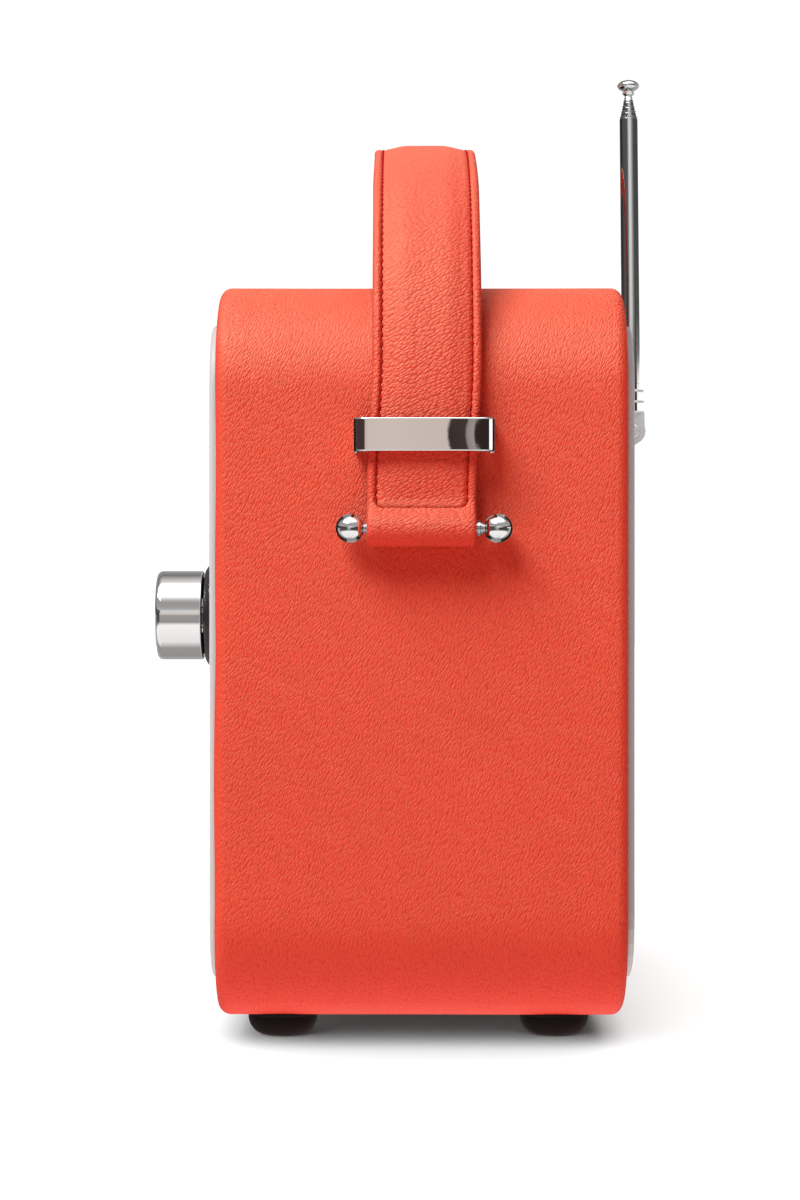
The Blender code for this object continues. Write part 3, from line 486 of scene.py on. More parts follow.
def front_face():
    """The front panel with a softly rounded rim, on its plug."""
    rim = PANEL_PROUD - 0.3 * MM
    edge = 1.25 * MM
    plug_inset = 14.0 * MM
    plug_corner = 25.6 * MM
    stations = []
    for i in range(9):
        angle = math.radians(90 * i / 8)
        stations.append((PANEL_INSET + edge * (1 - math.sin(angle)), edge * (1 - math.cos(angle)), None))
    stations += [(PANEL_INSET, rim, None), (plug_inset, rim, plug_corner)]
    stations += [(plug_inset, PANEL_BACK, plug_corner)]
    loops = []
    for inset, deep, radius in stations:
        loops.append(cabinet_loop(inset, FRONT_Y + deep, radius)[0])
    return finish_mesh(loft(loops), "front_face", M["panel_white"], 35)


def through(node, wider):
    """A tool through the front panel, round a CAD node's outline in XZ."""
    low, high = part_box(node)
    centre = (low + high) / 2
    size = (high.x - low.x + 2 * wider, high.z - low.z + 2 * wider)
    near = min(low.y, FRONT_Y) - 4 * MM
    return plate((centre.x, centre.z), size, min(size) * 0.3, near, FRONT_Y + PANEL_BACK + 3 * MM)


def build_front_panel():
    """The front panel, with its stepped speaker well and holes for the shaft, display and buttons."""
    grille = middle("speaker_grille")
    grille_r = (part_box("speaker_grille")[1].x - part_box("speaker_grille")[0].x) / 2 / MM + 0.3
    cone_r = 45
    shaft_r = 3.9
    deep = (PANEL_BACK + 3 * MM) / MM
    steps = [(0, -3), (grille_r, -3), (grille_r, 1.7), (cone_r, 1.7), (cone_r, deep), (0, deep)]
    well = lathe(steps, Vector((grille.x, FRONT_Y, grille.z)), "Y", 96)
    straight = [(0, -3), (shaft_r, -3), (shaft_r, deep), (0, deep)]
    bush = lathe(straight, Vector((KNOB.x, FRONT_Y, KNOB.z)), "Y", 32)
    tools = [well, bush, through("display_window", 0.3 * MM)]
    button_hole = (11.6 * MM, 5.6 * MM)
    for number in range(1, 5):
        centre = middle(f"button_{number}")
        place = (centre.x, centre.z)
        tools.append(plate(place, button_hole, 2.7 * MM, FRONT_Y - MM, FRONT_Y + PANEL_BACK + MM))
    return settle(cut(front_face(), *tools), "cabinet", "panel_white", "front_panel")


# ---- knob ----


def build_knob():
    """The polished cap: a shallow dish in front, and a hollow behind with a hub for the shaft."""
    front = (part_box("control_knob")[0].y - KNOB.y) / MM
    rear = -front
    r = KNOB_R / MM
    outside = [(0, front + 0.35), (7.6, front + 0.35), (8.2, front + 0.05), (r - 1.15, front)]
    outside += [(r - 0.35, front + 0.35), (r, front + 1.2), (r, rear - 0.3), (r - 0.35, rear)]
    inside = [(10.2, rear), (10.2, front + 2.4), (4.6, front + 2.4), (4.6, rear - 0.5)]
    inside += [(2.6, rear - 0.5), (2.6, front + 3.2), (0, front + 3.2)]
    body = finish_mesh(lathe(softened(outside, 0.5) + inside, KNOB, "Y", 160), "knob", M["chrome"], 50)
    return settle(true_flats(body), "knob", "chrome", "control_knob")


def build_bezel():
    """The black ring behind the knob, flared towards the panel."""
    centre = Vector((KNOB.x, FRONT_Y, KNOB.z))
    ring = [(4.0, -0.3), (4.0, -1.2), (9.6, -1.2), (11.2, -3.0), (11.9, -3.1)]
    ring += [(12.9, -2.5), (13.8, -1.6), (15.0, -0.3)]
    body = finish_mesh(lathe(softened(ring, 0.5), centre, "Y", 96), "bezel", M["black_plastic"], 50)
    return settle(body, "cabinet", "black_plastic", "knob_bezel")


# ---- feet ----


def build_feet():
    """Rubber feet: a small flat sole, domed out to the full width."""
    sole = 4.4
    for number in range(1, 5):
        node = f"foot_{number}"
        low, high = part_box(node)
        centre = Vector(((low.x + high.x) / 2, (low.y + high.y) / 2, low.z))
        r = (high.x - low.x) / 2 / MM
        tall = (high.z - low.z) / MM
        bowl = [(0, 0), (sole, 0)]
        for i in range(1, 13):
            angle = math.radians(90 * i / 12)
            bowl.append((sole + (r - sole) * math.sin(angle) ** 0.9, 0.95 * tall * (1 - math.cos(angle))))
        bowl += [(r, tall), (0, tall)]
        foot = finish_mesh(lathe(bowl, centre, "Z", 64), f"foot_dome_{number}", M["foot_rubber"], 50)
        settle(foot, "cabinet", "foot_rubber", node)


# ---- strap ----

# The right half is drawn in (x, z) from the top of the arch: a superellipse, a short bend, then the roll
STRAP_LOW, STRAP_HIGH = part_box("strap_base")
STRAP_HALF = (STRAP_HIGH.y - STRAP_LOW.y) / 2
PAD_HALF = (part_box("strap_pad")[1].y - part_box("strap_pad")[0].y) / 2
PAD_CORNER = 2.2 * MM
PAD_END_BEFORE_ROLL = -2.2 * MM
ROLL_R = STRAP_HIGH.x - BAR.x
ROLL_THICK = 2.55 * MM
STRAP_THICK = 4.4 * MM
ROLL_ENTRY = 50
ARCH_SIDE = SIDE + 5.6 * MM
ARCH_FROM = 140 * MM
ARCH_HIGH = STRAP_HIGH.z - ARCH_FROM
ARCH_POWER = 3.0


def arch_line():
    """The strap's outer line from the top of the arch to its right roll, as dense (x, z) points."""
    dense = []
    for i in range(1201):
        t = math.pi / 2 * (1 - i / 1200)
        x = ARCH_SIDE * math.cos(t) ** (2 / ARCH_POWER)
        dense.append((x, ARCH_FROM + ARCH_HIGH * math.sin(t) ** (2 / ARCH_POWER)))
    entry = math.radians(ROLL_ENTRY)
    start = Vector((ARCH_SIDE, ARCH_FROM))
    end = Vector((BAR.x + ROLL_R * math.cos(entry), BAR.z + ROLL_R * math.sin(entry)))
    pulls = (start + Vector((0, -3 * MM)), end - 2.2 * MM * Vector((math.sin(entry), -math.cos(entry))))
    for i in range(1, 41):
        u = i / 40
        bend = (1 - u) ** 3 * start + 3 * u * (1 - u) ** 2 * pulls[0]
        bend += 3 * u * u * (1 - u) * pulls[1]
        bend += u**3 * end
        dense.append(tuple(bend))
    return np.array(dense)


def strap_line(step, *fine):
    """Points of the right half with their outward normals; closer together round the fine distances."""
    dense = arch_line()
    angles = np.radians(np.arange(ROLL_ENTRY - 2, -236, -2))
    roll = np.stack([BAR.x + ROLL_R * np.cos(angles), BAR.z + ROLL_R * np.sin(angles)], axis=1)
    along = running(dense)
    whole = np.concatenate([dense, roll])
    whole_along = running(whole)
    at = np.linspace(0, whole_along[-1], int(whole_along[-1] / step) + 1)
    for place in fine:
        low, high = along[-1] + place - 4 * MM, along[-1] + place + 1.5 * MM
        at = np.concatenate([at[(at < low) | (at > high)], np.arange(low, high, 0.12 * MM)])
    at = np.sort(at)
    line = np.stack([np.interp(at, whole_along, whole[:, k]) for k in range(2)], axis=1)
    ahead = np.stack([np.interp(at + MM, whole_along, whole[:, k]) for k in range(2)], axis=1)
    behind = np.stack([np.interp(at - MM, whole_along, whole[:, k]) for k in range(2)], axis=1)
    tangent = ahead - behind
    tangent /= np.linalg.norm(tangent, axis=1)[:, None]
    out = np.stack([-tangent[:, 1], tangent[:, 0]], axis=1)
    out[0] = (0, 1)
    return line, out, at, along[-1]


def smoothstep(value, low, high):
    """A soft step from 0 at low to 1 at high."""
    t = min(1.0, max(0.0, (value - low) / (high - low)))
    return t * t * (3 - 2 * t)


def lean_of_strap(z):
    """The strap sits a little askew: to the rear above the keepers, to the front below them."""
    return (-0.65 + 1.4 * smoothstep(z, 138 * MM, 175 * MM)) * MM


def pad_half(s, end):
    """Half the width of the padded centre, with its rounded lower corners."""
    near = min(PAD_CORNER, max(0.0, s - (end - PAD_CORNER)))
    return PAD_HALF - PAD_CORNER + math.sqrt(PAD_CORNER**2 - near**2)


def on_strap(point, normal, across, outward, sx):
    """A place on the strap in the world, from its distances across and out from the line."""
    x, z = point + normal * outward
    return (sx * x, STRAP_Y + across + lean_of_strap(z), z)


def strap_loops(line, out, at, section):
    """Loops and their hide coordinates for both halves, from the section at each distance."""
    loops, uv = [], []
    order = [(i, -1) for i in range(len(line) - 1, 0, -1)] + [(i, 1) for i in range(len(line))]
    for i, sx in order:
        outline = section(at[i], sx)
        loops.append([on_strap(line[i], out[i], u, v, sx) for u, v in outline])
        uv.append([(sx * at[i], girth) for girth in running(outline + outline[:1])])
    return loops, uv


def build_strap():
    """The strap with its folded edges, the channel that the padded centre lies in, and its two rolls."""
    line, out, at, roll_at = strap_line(1.5 * MM, PAD_END_BEFORE_ROLL)
    end = roll_at + PAD_END_BEFORE_ROLL
    gap = 0.20 * MM
    edge = 1.2 * MM
    channel_deep = 2.2 * MM

    def section(s, sx):
        closed = s > end + gap
        thinning = smoothstep(s, roll_at - 1.5 * MM, roll_at + 4 * MM)
        thick = STRAP_THICK + (ROLL_THICK - STRAP_THICK) * thinning
        deep = 0.0 if closed else channel_deep
        channel = gap + (pad_half(min(s, end), end) if not closed else PAD_HALF - PAD_CORNER)
        wobble = 0.12 * MM * noise.noise(Vector((s * 40 * sx, 2.0, 5.0)))
        side = STRAP_HALF + wobble
        right = [(side - 0.6 * MM, -thick)]
        right += [(side, -thick + 0.6 * MM), (side, -edge)]
        for k in range(1, 7):
            a = math.radians(90 * k / 7)
            right.append((side - edge * (1 - math.cos(a)), -edge * (1 - math.sin(a))))
        dip = 0.0 if closed else 1.0
        right += [(side - edge - 0.25 * MM, 0.03 * MM), (channel + 0.75 * MM, 0.02 * MM)]
        right += [(channel + 0.35 * MM, -0.12 * MM * dip), (channel + 0.06 * MM, -0.45 * MM * dip)]
        right += [(channel, -0.3 * deep), (channel, -deep - 0.01 * MM)]
        left = [(-u, v) for u, v in reversed(right)]
        return right + left

    loops, uv = strap_loops(line, out, at, section)
    strap = finish_mesh(loft(loops, uv=uv), "strap", M["strap_leather"], 50)
    settle(strap, "handle", "strap_leather", "strap_base")
    return strap, line, out, at, roll_at


def pad_crown(s, end, u, half):
    """How high the padded centre stands at a place on it, from its distance to its sewn edge."""
    into = min(half - abs(u), (end - s))
    dome = smoothstep(into, -0.2 * MM, 6.5 * MM)
    fill = 0.70 * MM * smoothstep(end - s, 0.0, 45 * MM) + 0.40 * MM
    rim = -0.42 * MM * (1 - smoothstep(into, 0.0, 0.8 * MM))
    return fill * dome + rim


def build_pad(line, out, at, roll_at):
    """The padded centre, crowned between its sewn edges."""
    end = roll_at + PAD_END_BEFORE_ROLL
    keep = at <= end
    pad_line, pad_out, pad_at = line[keep], out[keep], at[keep]

    bottom = -1.9 * MM

    def section(s, _side):
        half = pad_half(s, end)
        top = []
        for k in range(25):
            u = half * math.cos(math.pi * k / 24)
            top.append((u, pad_crown(s, end, u, half)))
        return [(-half, bottom), (half, bottom)] + top

    loops, uv = strap_loops(pad_line, pad_out, pad_at, section)
    pad = finish_mesh(loft(loops, uv=uv), "strap_centre", M["strap_leather"], 50)
    settle(pad, "handle", "strap_leather", "strap_pad")
    return pad, end


def capsule(bm, centre, direction, across, length, radius):
    """One stitch: a short bead of thread that dips at both ends."""
    direction = Vector(direction).normalized()
    up = Vector(across).normalized()
    side = direction.cross(up)
    rings = []
    for t, r in ((-0.5, 0.25), (-0.38, 0.8), (0.0, 1.0), (0.38, 0.8), (0.5, 0.25)):
        drop = -radius * 1.1 * (2 * t) ** 2
        middle_point = Vector(centre) + direction * (t * length) + up * drop
        ring = []
        for i in range(6):
            a = 2 * math.pi * i / 6
            ring.append(bm.verts.new(middle_point + (side * math.cos(a) + up * math.sin(a)) * radius * r))
        rings.append(ring)
    for first, second in zip(rings, rings[1:]):
        for i in range(6):
            bm.faces.new((first[i], first[(i + 1) % 6], second[(i + 1) % 6], second[i]))
    bm.faces.new(rings[0][::-1])
    bm.faces.new(rings[-1])


def seam_path(end):
    """The seam round the padded centre's right half, as (distance, across): down one side and back."""
    away = 0.07 * MM
    step = 0.4 * MM
    half = PAD_HALF + away
    corner = PAD_CORNER
    path = [(s, half) for s in np.arange(0.0, end - corner, step)]
    for i in range(1, 13):
        a = math.radians(90 * i / 12)
        path.append((end - corner + corner * math.sin(a), half - corner * (1 - math.cos(a))))
    path += [(end + away, u) for u in np.arange(half - corner, -half + corner, -step)]
    for i in range(1, 13):
        a = math.radians(90 * i / 12)
        path.append((end - corner + corner * math.cos(a), -half + corner * (1 - math.sin(a))))
    path += [(s, -half) for s in np.arange(end - corner, 0.0, -step)]
    return np.array(path)


def build_stitches(line, out, at, end):
    """The stitches of both halves' seams, each a bead of thread sunk a little in the leather."""
    pitch = 2.3 * MM
    sunk = -0.22 * MM
    path = seam_path(end)
    run = running(path)
    bm = bmesh.new()
    for sx in (-1, 1):
        for place in np.arange(pitch / 2, run[-1], pitch):
            s, u = (np.interp(place, run, path[:, k]) for k in range(2))
            s2, u2 = (np.interp(place + 0.2 * MM, run, path[:, k]) for k in range(2))
            point = np.array([np.interp(s, at, line[:, k]) for k in range(2)])
            normal = np.array([np.interp(s, at, out[:, k]) for k in range(2)])
            ahead = np.array([np.interp(s2, at, line[:, k]) for k in range(2)])
            here = Vector(on_strap(point, normal, u, sunk, sx))
            there = Vector(on_strap(ahead, normal, u2, sunk, sx))
            capsule(bm, here, there - here, (sx * normal[0], 0, normal[1]), 1.75 * MM, 0.30 * MM)
    settle(finish_mesh(bm, "strap_stitching", M["thread"], 60), "handle", "strap_leather")


# ---- chrome on the sides ----


def build_keepers():
    """A flat band with rounded edges, bent into a U whose legs stand in the cabinet's side."""
    high = (KEEPER_HIGH.z - KEEPER_LOW.z) / 2
    thick = 1.1 * MM
    edge = 0.42 * MM
    flat = KEEPER_HIGH.x
    tip = KEEPER_LOW.x
    half = (KEEPER_HIGH.y - KEEPER_LOW.y) / 2 - thick / 2
    bend = 3.6 * MM - thick / 2
    x_mid = flat - thick / 2
    reach = half - bend
    path = [(tip, -half), (SIDE, -half)]
    for i in range(25):
        a = math.radians(-90 + 90 * i / 24)
        path.append((x_mid - bend + bend * math.cos(a), -reach + bend * math.sin(a)))
    for k in range(1, 24):
        y = -reach + 2 * reach * k / 24
        path.append((x_mid + KEEPER_BOW * (1 - (y / reach) ** 2), y))
    for i in range(25):
        a = math.radians(90 * i / 24)
        path.append((x_mid - bend + bend * math.cos(a), reach + bend * math.sin(a)))
    path += [(SIDE, half), (tip, half)]
    path = np.array(path)
    tangent = np.gradient(path, axis=0)
    tangent /= np.linalg.norm(tangent, axis=1)[:, None]
    outward = np.stack([tangent[:, 1], -tangent[:, 0]], axis=1)
    section = []
    for su, sv, start in ((1, 1, 0), (-1, 1, 90), (-1, -1, 180), (1, -1, 270)):
        for i in range(6):
            a = math.radians(start + 90 * i / 5)
            v = su * (thick / 2 - edge) + edge * math.cos(a)
            section.append((v, sv * (high - edge) + edge * math.sin(a)))
    for side, sx in (("right", 1), ("left", -1)):
        loops = []
        for point, normal in zip(path, outward):
            loop = []
            for v, w in section:
                x, y = point + normal * v
                loop.append((sx * x, KEEPER.y + y, KEEPER.z + w))
            loops.append(loop)
        band = finish_mesh(loft(loops), f"keeper_band_{side}", M["keeper_chrome"], 60)
        settle(true_flats(band), "cabinet", "chrome", f"keeper_{side}")


def build_stops():
    """The turned bars through the strap's rolls, with a ball on each end."""
    ball_r = (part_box("stop_ball_right_rear")[1].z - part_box("stop_ball_right_rear")[0].z) / 2 / MM
    reach = 18.35
    for side, sx in (("right", 1), ("left", -1)):
        centre = Vector((sx * BAR.x, BAR.y, BAR.z))
        half = [(1.45, 13.2), (1.9, 13.25), (1.95, 13.9), (1.5, 14.1), (1.5, 14.5), (1.15, 14.6)]
        half += [(1.15, reach - 0.6), (0, reach - 0.6)]
        profile = [(r, -a) for r, a in reversed(half)] + half
        bar = finish_mesh(lathe(profile, centre, "Y", 32), f"bar_{side}", M["screw_steel"], 40)
        settle(bar, f"stop_{side}", "chrome", f"stop_bar_{side}")
        for name, sy in (("front", -1), ("rear", 1)):
            hole = math.asin(1.5 / ball_r)
            shape = [(0, -0.3), (1.5, -0.3)]
            for i in range(49):
                a = hole + (math.pi - hole) * i / 48
                shape.append((ball_r * math.sin(a) if i < 48 else 0, -ball_r * math.cos(a)))
            shape = [(r, sy * a) for r, a in shape]
            ball = lathe(shape, centre + Vector((0, sy * reach * MM, 0)), "Y", 96)
            ball = finish_mesh(ball, f"ball_{side}_{name}", M["chrome"], 50)
            settle(ball, f"stop_{side}", "chrome", f"stop_ball_{side}_{name}")


# ---- aerial ----


def build_tubes():
    """The collapsed tubes, each with a thin rolled lip at its upper end."""
    rings = {1: (2.5, 2.25), 2: (2.1, 1.88), 3: (1.75, 1.57), 4: (1.45, 1.28)}
    for number, (outer, inner) in rings.items():
        node = f"aerial_tube_{number}"
        low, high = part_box(node)
        tall = (high.z - low.z) / MM
        shape = [(inner, 0), (outer, 0), (outer, tall - 0.75), (outer - 0.2, tall - 0.62)]
        shape += [(outer - 0.2, tall - 0.45), (outer - 0.04, tall - 0.34), (outer - 0.04, tall - 0.14)]
        shape += [(outer - 0.18, tall), (inner, tall)]
        body = "aerial_mast" if number == 1 else f"aerial_section_{number}"
        tube = lathe(shape, Vector((PIVOT.x, PIVOT.y, low.z)), "Z", 64)
        tube = lean_with_mast(finish_mesh(tube, f"mast_{number}", M["aerial_chrome"], 35))
        settle(tube, body, "aerial_chrome", node)


def build_tip():
    """The innermost rod with its mushroom button."""
    low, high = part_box("aerial_rod")
    top = (high.z - low.z) / MM
    shape = [(0, 0), (1.15, 0), (1.15, top - 4.9), (0.95, top - 4.7), (0.95, top - 4.5), (1.25, top - 4.3)]
    shape += [(1.62, top - 3.95), (1.70, top - 3.65), (1.45, top - 3.3), (1.35, top - 3.15)]
    shape += [(1.9, top - 2.95), (2.6, top - 2.5), (2.95, top - 2.05), (3.06, top - 1.65)]
    shape += [(2.95, top - 1.25), (2.55, top - 0.75), (1.9, top - 0.35), (1.0, top - 0.08), (0, top)]
    rod = lathe(shape, Vector((PIVOT.x, PIVOT.y, low.z)), "Z", 64)
    rod = lean_with_mast(finish_mesh(rod, "mast_tip", M["aerial_chrome"], 50))
    settle(rod, "aerial_section_5", "aerial_chrome", "aerial_rod")


def build_knuckle():
    """The hinged foot of the mast: a flat tongue with a round end, and a ferrule with three collars."""
    r = 3.5 * MM
    outline = []
    for i in range(25):
        a = math.radians(180 + 180 * i / 24)
        outline.append((PIVOT.y + r * math.cos(a), PIVOT.z + r * math.sin(a)))
    outline += [(PIVOT.y + r, PIVOT.z + 5.2 * MM), (PIVOT.y - r, PIVOT.z + 5.2 * MM)]
    loops = []
    for x, shrink in ((-2.4, 0.25), (-2.15, 0.0), (2.15, 0.0), (2.4, 0.25)):
        centre = np.array([PIVOT.y, PIVOT.z + 0.6 * MM])
        here = [np.array(p) + (centre - np.array(p)) * shrink * 0.06 for p in outline]
        loops.append([(PIVOT.x + x * MM, *p) for p in here])
    tongue = finish_mesh(loft(loops), "mast_tongue", M["satin_nickel"], 30)
    bore = lathe([(0, -9), (1.4, -9), (1.4, 9), (0, 9)], PIVOT, "X", 32)
    settle(lean_with_mast(cut(tongue, bore)), "aerial_mast", "aerial_chrome", "aerial_knuckle")
    ferrule = lathe([(0, 5.2), (2.48, 5.2), (2.48, 13.3), (0, 13.3)], PIVOT, "Z", 64)
    ferrule = lean_with_mast(finish_mesh(ferrule, "mast_ferrule", M["aerial_chrome"], 35))
    settle(ferrule, "aerial_mast", "aerial_chrome")
    for number, z in enumerate((5.4, 8.35, 11.4), 1):
        rim = []
        for i in range(9):
            a = math.radians(-90 + 180 * i / 8)
            rim.append((3.3 + 0.26 * math.cos(a), z + 0.26 * math.sin(a)))
        collar = lathe([(2.5, z - 0.26), *rim, (2.5, z + 0.26)], PIVOT, "Z", 64)
        collar = lean_with_mast(finish_mesh(collar, f"mast_collar_{number}", M["satin_nickel"], 35))
        settle(collar, "aerial_mast", "aerial_chrome")


# ---- finishes for CAD nodes that stay ----


def dress(node, material, bevel=0.0):
    """Gives a CAD node its finish, and softens its edges."""
    thing = frame["nodes"][node]
    for slot in thing.material_slots:
        slot.material = material
    if bevel:
        soft = thing.modifiers.new("soft_edges", "BEVEL")
        soft.width = bevel
        soft.segments = 2
        soft.limit_method = "ANGLE"
        soft.angle_limit = math.radians(40)
        soft.harden_normals = False


def dress_cad():
    """Finishes every CAD node that no piece stands for."""
    inner = {
        "circuit_board": plastic("circuit_board", (0.015, 0.11, 0.05), 0.4),
        # The board is painted near-black as painted shade: with the leather hidden from bounce light, the paper
        # under the cabinet sees the board, and its dark colour keeps the contact shadow dark and neutral.
        "cabinet_board": plastic("cabinet_board", (0.035, 0.03, 0.028), 0.8, 0.0001, 900.0),
        "speaker_paper": plastic("speaker_paper", (0.02, 0.02, 0.021), 0.85, 0.0001, 1400.0),
        "magnet_steel": metal("magnet_steel", (0.38, 0.38, 0.39), 0.35),
        "cell_wrap": plastic("cell_wrap", (0.03, 0.08, 0.20), 0.3),
        "contact_nickel": metal("contact_nickel", (0.62, 0.60, 0.56), 0.25),
        "display_glass": plastic("display_glass", (0.008, 0.009, 0.011), 0.07, 0.000004, 300.0),
    }
    for row in frame["record"]["subparts"]:
        node, slot = row["node"], row["material_slot"]
        if frame["nodes"][node].hide_render:
            continue
        dress(node, inner.get(slot) or M[slot])
    dress("aerial_pin", M["satin_nickel"], 0.2 * MM)
    dress("aerial_swivel", M["satin_nickel"], 0.25 * MM)
    for node in ("battery_door", "display_window", "button_1", "button_2", "button_3", "button_4"):
        dress(node, frame["nodes"][node].material_slots[0].material, 0.25 * MM)


# ---- studio ----


def build_floor():
    """White paper under the object. The light that comes up from below is the world's own."""
    bm = bmesh.new()
    bmesh.ops.create_circle(bm, cap_ends=True, radius=6.0, segments=96)
    g = Graph("floor_paper")
    place = g.node("TexCoord").outputs["Object"]
    g.set(Base_Color=varied(g, place, (0.86, 0.86, 0.86), 0.01, 3.0), Roughness=0.9, Specular_IOR_Level=0.1)
    floor = finish_mesh(bm, "floor", g.material)
    floor.location.z = -0.0001
    floor.visible_diffuse = False
    floor.visible_glossy = False
    floor.visible_shadow = False
    return floor


def softbox(name, azimuth, elevation, away, size, power):
    """A rectangular light. Azimuth 0 is the photograph's side, and negative is its left."""
    lamp = bpy.data.lights.new(name, "AREA")
    lamp.shape = "RECTANGLE"
    lamp.size, lamp.size_y = size
    lamp.energy = power
    thing = bpy.data.objects.new(name, lamp)
    bpy.context.scene.collection.objects.link(thing)
    a, e = math.radians(azimuth), math.radians(elevation)
    towards = Vector((math.cos(e) * math.cos(a), math.cos(e) * math.sin(a), math.sin(e)))
    thing.location = Vector((SIDE / 2, MID_Y, MID_Z)) + towards * away
    thing.rotation_euler = towards.to_track_quat("Z", "Y").to_euler()
    return thing


def wide_sun(name, azimuth, elevation, spread, strength):
    """An even light from a wide round patch of sky."""
    lamp = bpy.data.lights.new(name, "SUN")
    lamp.energy = strength
    lamp.angle = math.radians(spread)
    thing = bpy.data.objects.new(name, lamp)
    bpy.context.scene.collection.objects.link(thing)
    a, e = math.radians(azimuth), math.radians(elevation)
    towards = Vector((math.cos(e) * math.cos(a), math.cos(e) * math.sin(a), math.sin(e)))
    thing.rotation_euler = towards.to_track_quat("Z", "Y").to_euler()
    return thing


def lit_only(lamp, *things):
    """Limits a lamp to some things, as a flag or a snoot would."""
    only = bpy.data.collections.new(lamp.name + "_on")
    for thing in things:
        only.objects.link(thing)
    lamp.light_linking.receiver_collection = only


def keep_off(lamp, thing):
    """Flags a lamp off one thing."""
    spared = bpy.data.collections.new(lamp.name + "_off")
    spared.objects.link(thing)
    lamp.light_linking.receiver_collection = spared
    spared.collection_objects[0].light_linking.link_state = "EXCLUDE"


def leather_gleam(*things):
    """Soft lights that only add the leather's sheen: one by the key, and one behind for the upper bends."""
    for name, azimuth, elevation, power in (("gleam", -43, 54, 330.0), ("back_gleam", 180, 58, 24.0)):
        lamp = softbox(name, azimuth, elevation, 2.2, (1.3, 1.0), power)
        lamp.data.color = (1.0, 0.93, 0.58)
        lamp.visible_diffuse = False
        lit_only(lamp, *things)


def overhead(floor):
    """A wide sky that lights the paper only, so brightly that only the closest shadow stays."""
    lamp = wide_sun("paper_light", -88, 58, 150, 5.6)
    lamp.visible_glossy = False
    lit_only(lamp, floor)


def glossy_studio(g, rise, turn, front):
    """What polished parts mirror: bands by elevation, and cards and gaps by azimuth near the horizon."""
    ahead = g.curve(
        rise,
        (-90.0, 0.35), (-72.0, 0.9), (-25.0, 1.05), (-20.0, 0.6), (-16.0, 0.26), (-4.0, 0.19),
        (-1.0, 0.42), (5.0, 0.46), (12.0, 0.60), (19.0, 0.40), (33.0, 0.34), (41.0, 0.55),
        (50.0, 1.25), (60.0, 2.2), (90.0, 4.0),
    )
    behind = g.curve(
        rise,
        (-90.0, 0.35), (-50.0, 0.32), (-25.0, 0.45), (0.0, 0.45), (30.0, 0.32), (52.0, 0.2),
        (68.0, 0.5), (80.0, 0.75), (90.0, 1.0),
    )
    level = g.mix(front, behind, ahead)
    sides = g.curve(
        turn,
        (-180.0, 0.10), (-28.0, 0.08), (-17.0, 0.35), (2.0, 0.35), (7.0, 0.05), (104.0, 0.08),
        (180.0, 0.10),
    )
    tubes = g.curve(
        turn,
        (-180.0, 0.20), (-150.0, 0.04), (-105.0, 0.03), (-80.0, 0.09), (-45.0, 0.09), (-22.0, 0.12),
        (-12.0, 0.55), (0.0, 0.80), (14.0, 0.74), (34.0, 0.30), (55.0, 0.08), (110.0, 0.06),
        (180.0, 0.20),
    )
    low = g.curve(rise, (-18.0, 0.0), (-12.0, 1.0), (4.6, 1.0), (5.4, 0.0))
    high = g.curve(rise, (4.6, 0.0), (5.4, 1.0), (12.0, 1.0), (15.0, 0.0))
    level = g.mix(g.math("MULTIPLY", low, front), level, sides)
    level = g.mix(high, level, tubes)
    return keeper_card(g, rise, turn, level)


def keeper_card(g, rise, turn, level):
    """A warm card low in front, ending in a dark doorway, with a lit card far to the right."""
    warm = (0.62, 0.51, 0.455)
    doorway = (0.03, 0.02, 0.017)
    dark = (0.06, 0.04, 0.035)
    white = (1.3, 1.27, 1.25)
    off = g.math("SUBTRACT", rise, 3.4)
    bowed = g.math("SUBTRACT", turn, g.math("MULTIPLY", g.math("MULTIPLY", off, off), 0.8))
    card = g.curve(
        bowed,
        (-12.0, warm), (-4.0, (0.68, 0.585, 0.54)), (2.9, (0.66, 0.56, 0.51)),
        (3.15, (0.045, 0.032, 0.028)), (4.9, (0.06, 0.042, 0.038)),
        (5.1, (0.30, 0.27, 0.25)), (5.8, (0.36, 0.33, 0.31)), (6.0, doorway), (12.0, doorway),
    )
    far = g.curve(
        turn,
        (-180.0, dark), (-30.0, dark), (-24.0, warm), (-12.0, warm), (12.0, doorway), (74.0, doorway),
        (79.0, white), (180.0, white),
    )
    close = g.curve(turn, (-12.0, 0.0), (-11.5, 1.0), (11.5, 1.0), (12.0, 0.0))
    tall = g.curve(rise, (1.2, 0.0), (1.8, 1.0), (4.8, 1.0), (5.4, 0.0))
    return g.mix(tall, level, g.mix(close, far, card))


def soft_studio(g, rise, turn):
    """The room's own soft light: from above, from the left and behind, and off the white paper below."""
    by_rise = g.curve(
        rise,
        (-90.0, 2.2), (-45.0, 1.65), (-8.0, 0.58), (15.0, 0.20), (45.0, 0.18), (65.0, 0.85), (90.0, 1.5),
    )
    by_turn = g.curve(
        turn,
        (-180.0, 0.9), (-90.0, 1.0), (-10.0, 1.0), (60.0, 0.50), (95.0, (1.3, 0.98, 0.92)),
        (130.0, 1.35), (180.0, 1.0),
    )
    product = {0: 1.0, 6: by_rise, 7: by_turn}
    return g.node("Mix", product, data_type="RGBA", blend_type="MULTIPLY").outputs[2]


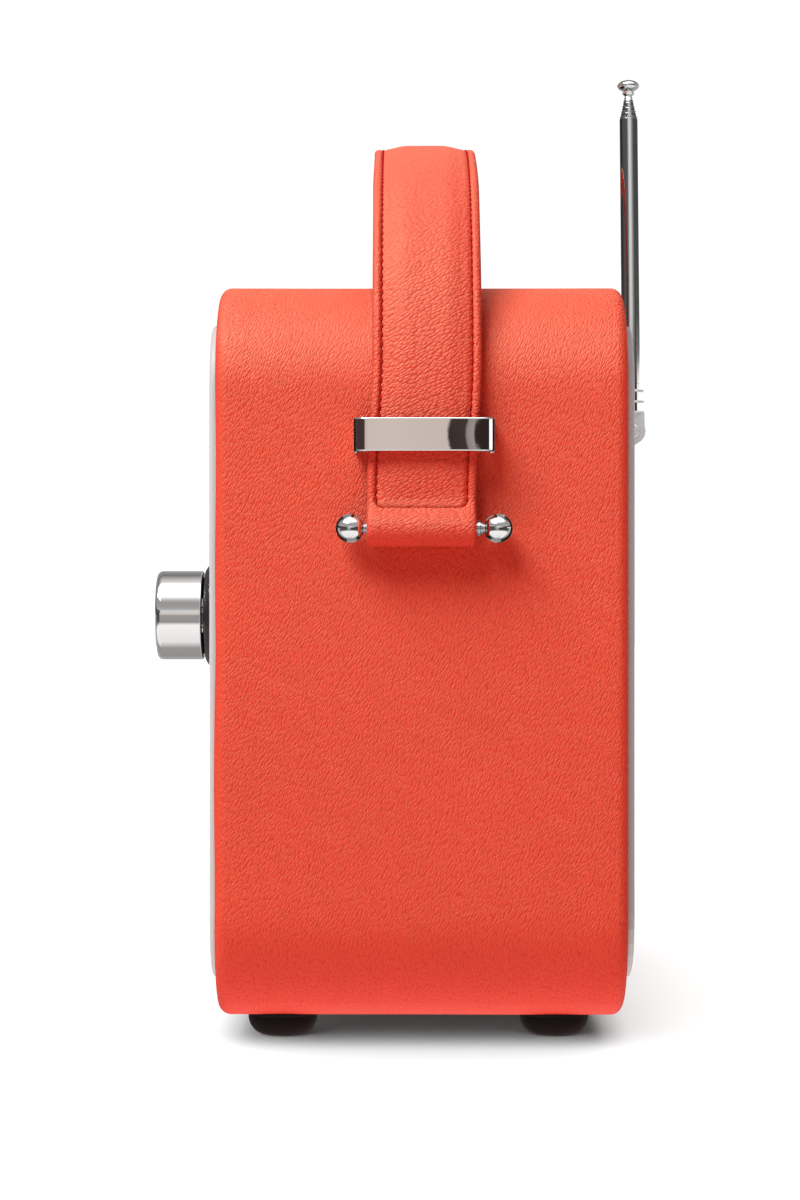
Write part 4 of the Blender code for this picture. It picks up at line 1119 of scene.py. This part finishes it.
def build_world():
    """The studio round the object. The camera sees white behind it."""
    world = bpy.data.worlds.new("studio")
    bpy.context.scene.world = world
    g = Graph("studio", world)
    way = g.node("SeparateXYZ", {0: g.node("TexCoord").outputs["Generated"]})
    rise = g.math("MULTIPLY", g.math("ARCSINE", way.outputs["Z"]), 180 / math.pi)
    turn = g.math("MULTIPLY", g.math("ARCTAN2", way.outputs["Y"], way.outputs["X"]), 180 / math.pi)
    front = g.node("MapRange", {"Value": way.outputs["X"], "From Min": -0.08, "From Max": 0.08})
    seen = g.node("LightPath")
    soft = soft_studio(g, rise, turn)
    glossy = glossy_studio(g, rise, turn, front)
    colour = g.mix(seen.outputs["Is Glossy Ray"], soft, glossy)
    colour = g.mix(seen.outputs["Is Camera Ray"], colour, (1.05, 1.05, 1.05, 1))
    g.set(Color=colour)


def keep_red_out(wrap):
    """The leather tints neither the paper nor the chrome, as if behind flags, and its board doesn't show in the
    chrome; the board's near-black colour is painted shade, so that it barely tints the paper.
    """
    wrap.visible_diffuse = False
    wrap.visible_glossy = False
    frame["nodes"]["cabinet_shell"].visible_glossy = False


def build_camera():
    """The photograph's camera: level, square to the right-hand side, a little towards the front."""
    lens = bpy.data.cameras.new("camera")
    lens.lens = 84
    lens.sensor_width = 36
    lens.clip_start = 0.01
    camera = bpy.data.objects.new("camera", lens)
    bpy.context.scene.collection.objects.link(camera)
    camera.location = (SIDE + 0.700, MID_Y - 5.6 * MM, 112.8 * MM)
    camera.rotation_euler = (math.pi / 2, 0, math.pi / 2)
    bpy.context.scene.camera = camera


def build():
    """Every piece, then the studio."""
    wrap = build_wrap()
    keep_red_out(wrap)
    build_front_panel()
    build_knob()
    build_bezel()
    build_feet()
    strap, line, out, at, roll_at = build_strap()
    pad, end = build_pad(line, out, at, roll_at)
    build_stitches(line, out, at, end)
    build_keepers()
    build_stops()
    build_tubes()
    build_tip()
    build_knuckle()
    dress_cad()
    build_world()
    floor = build_floor()
    keep_off(softbox("key", -42, 52, 3.0, (1.9, 1.2), 84.0), floor)
    leather_gleam(wrap, strap, pad)
    overhead(floor)
    build_camera()
    bpy.context.scene.view_settings.view_transform = "Standard"


build()
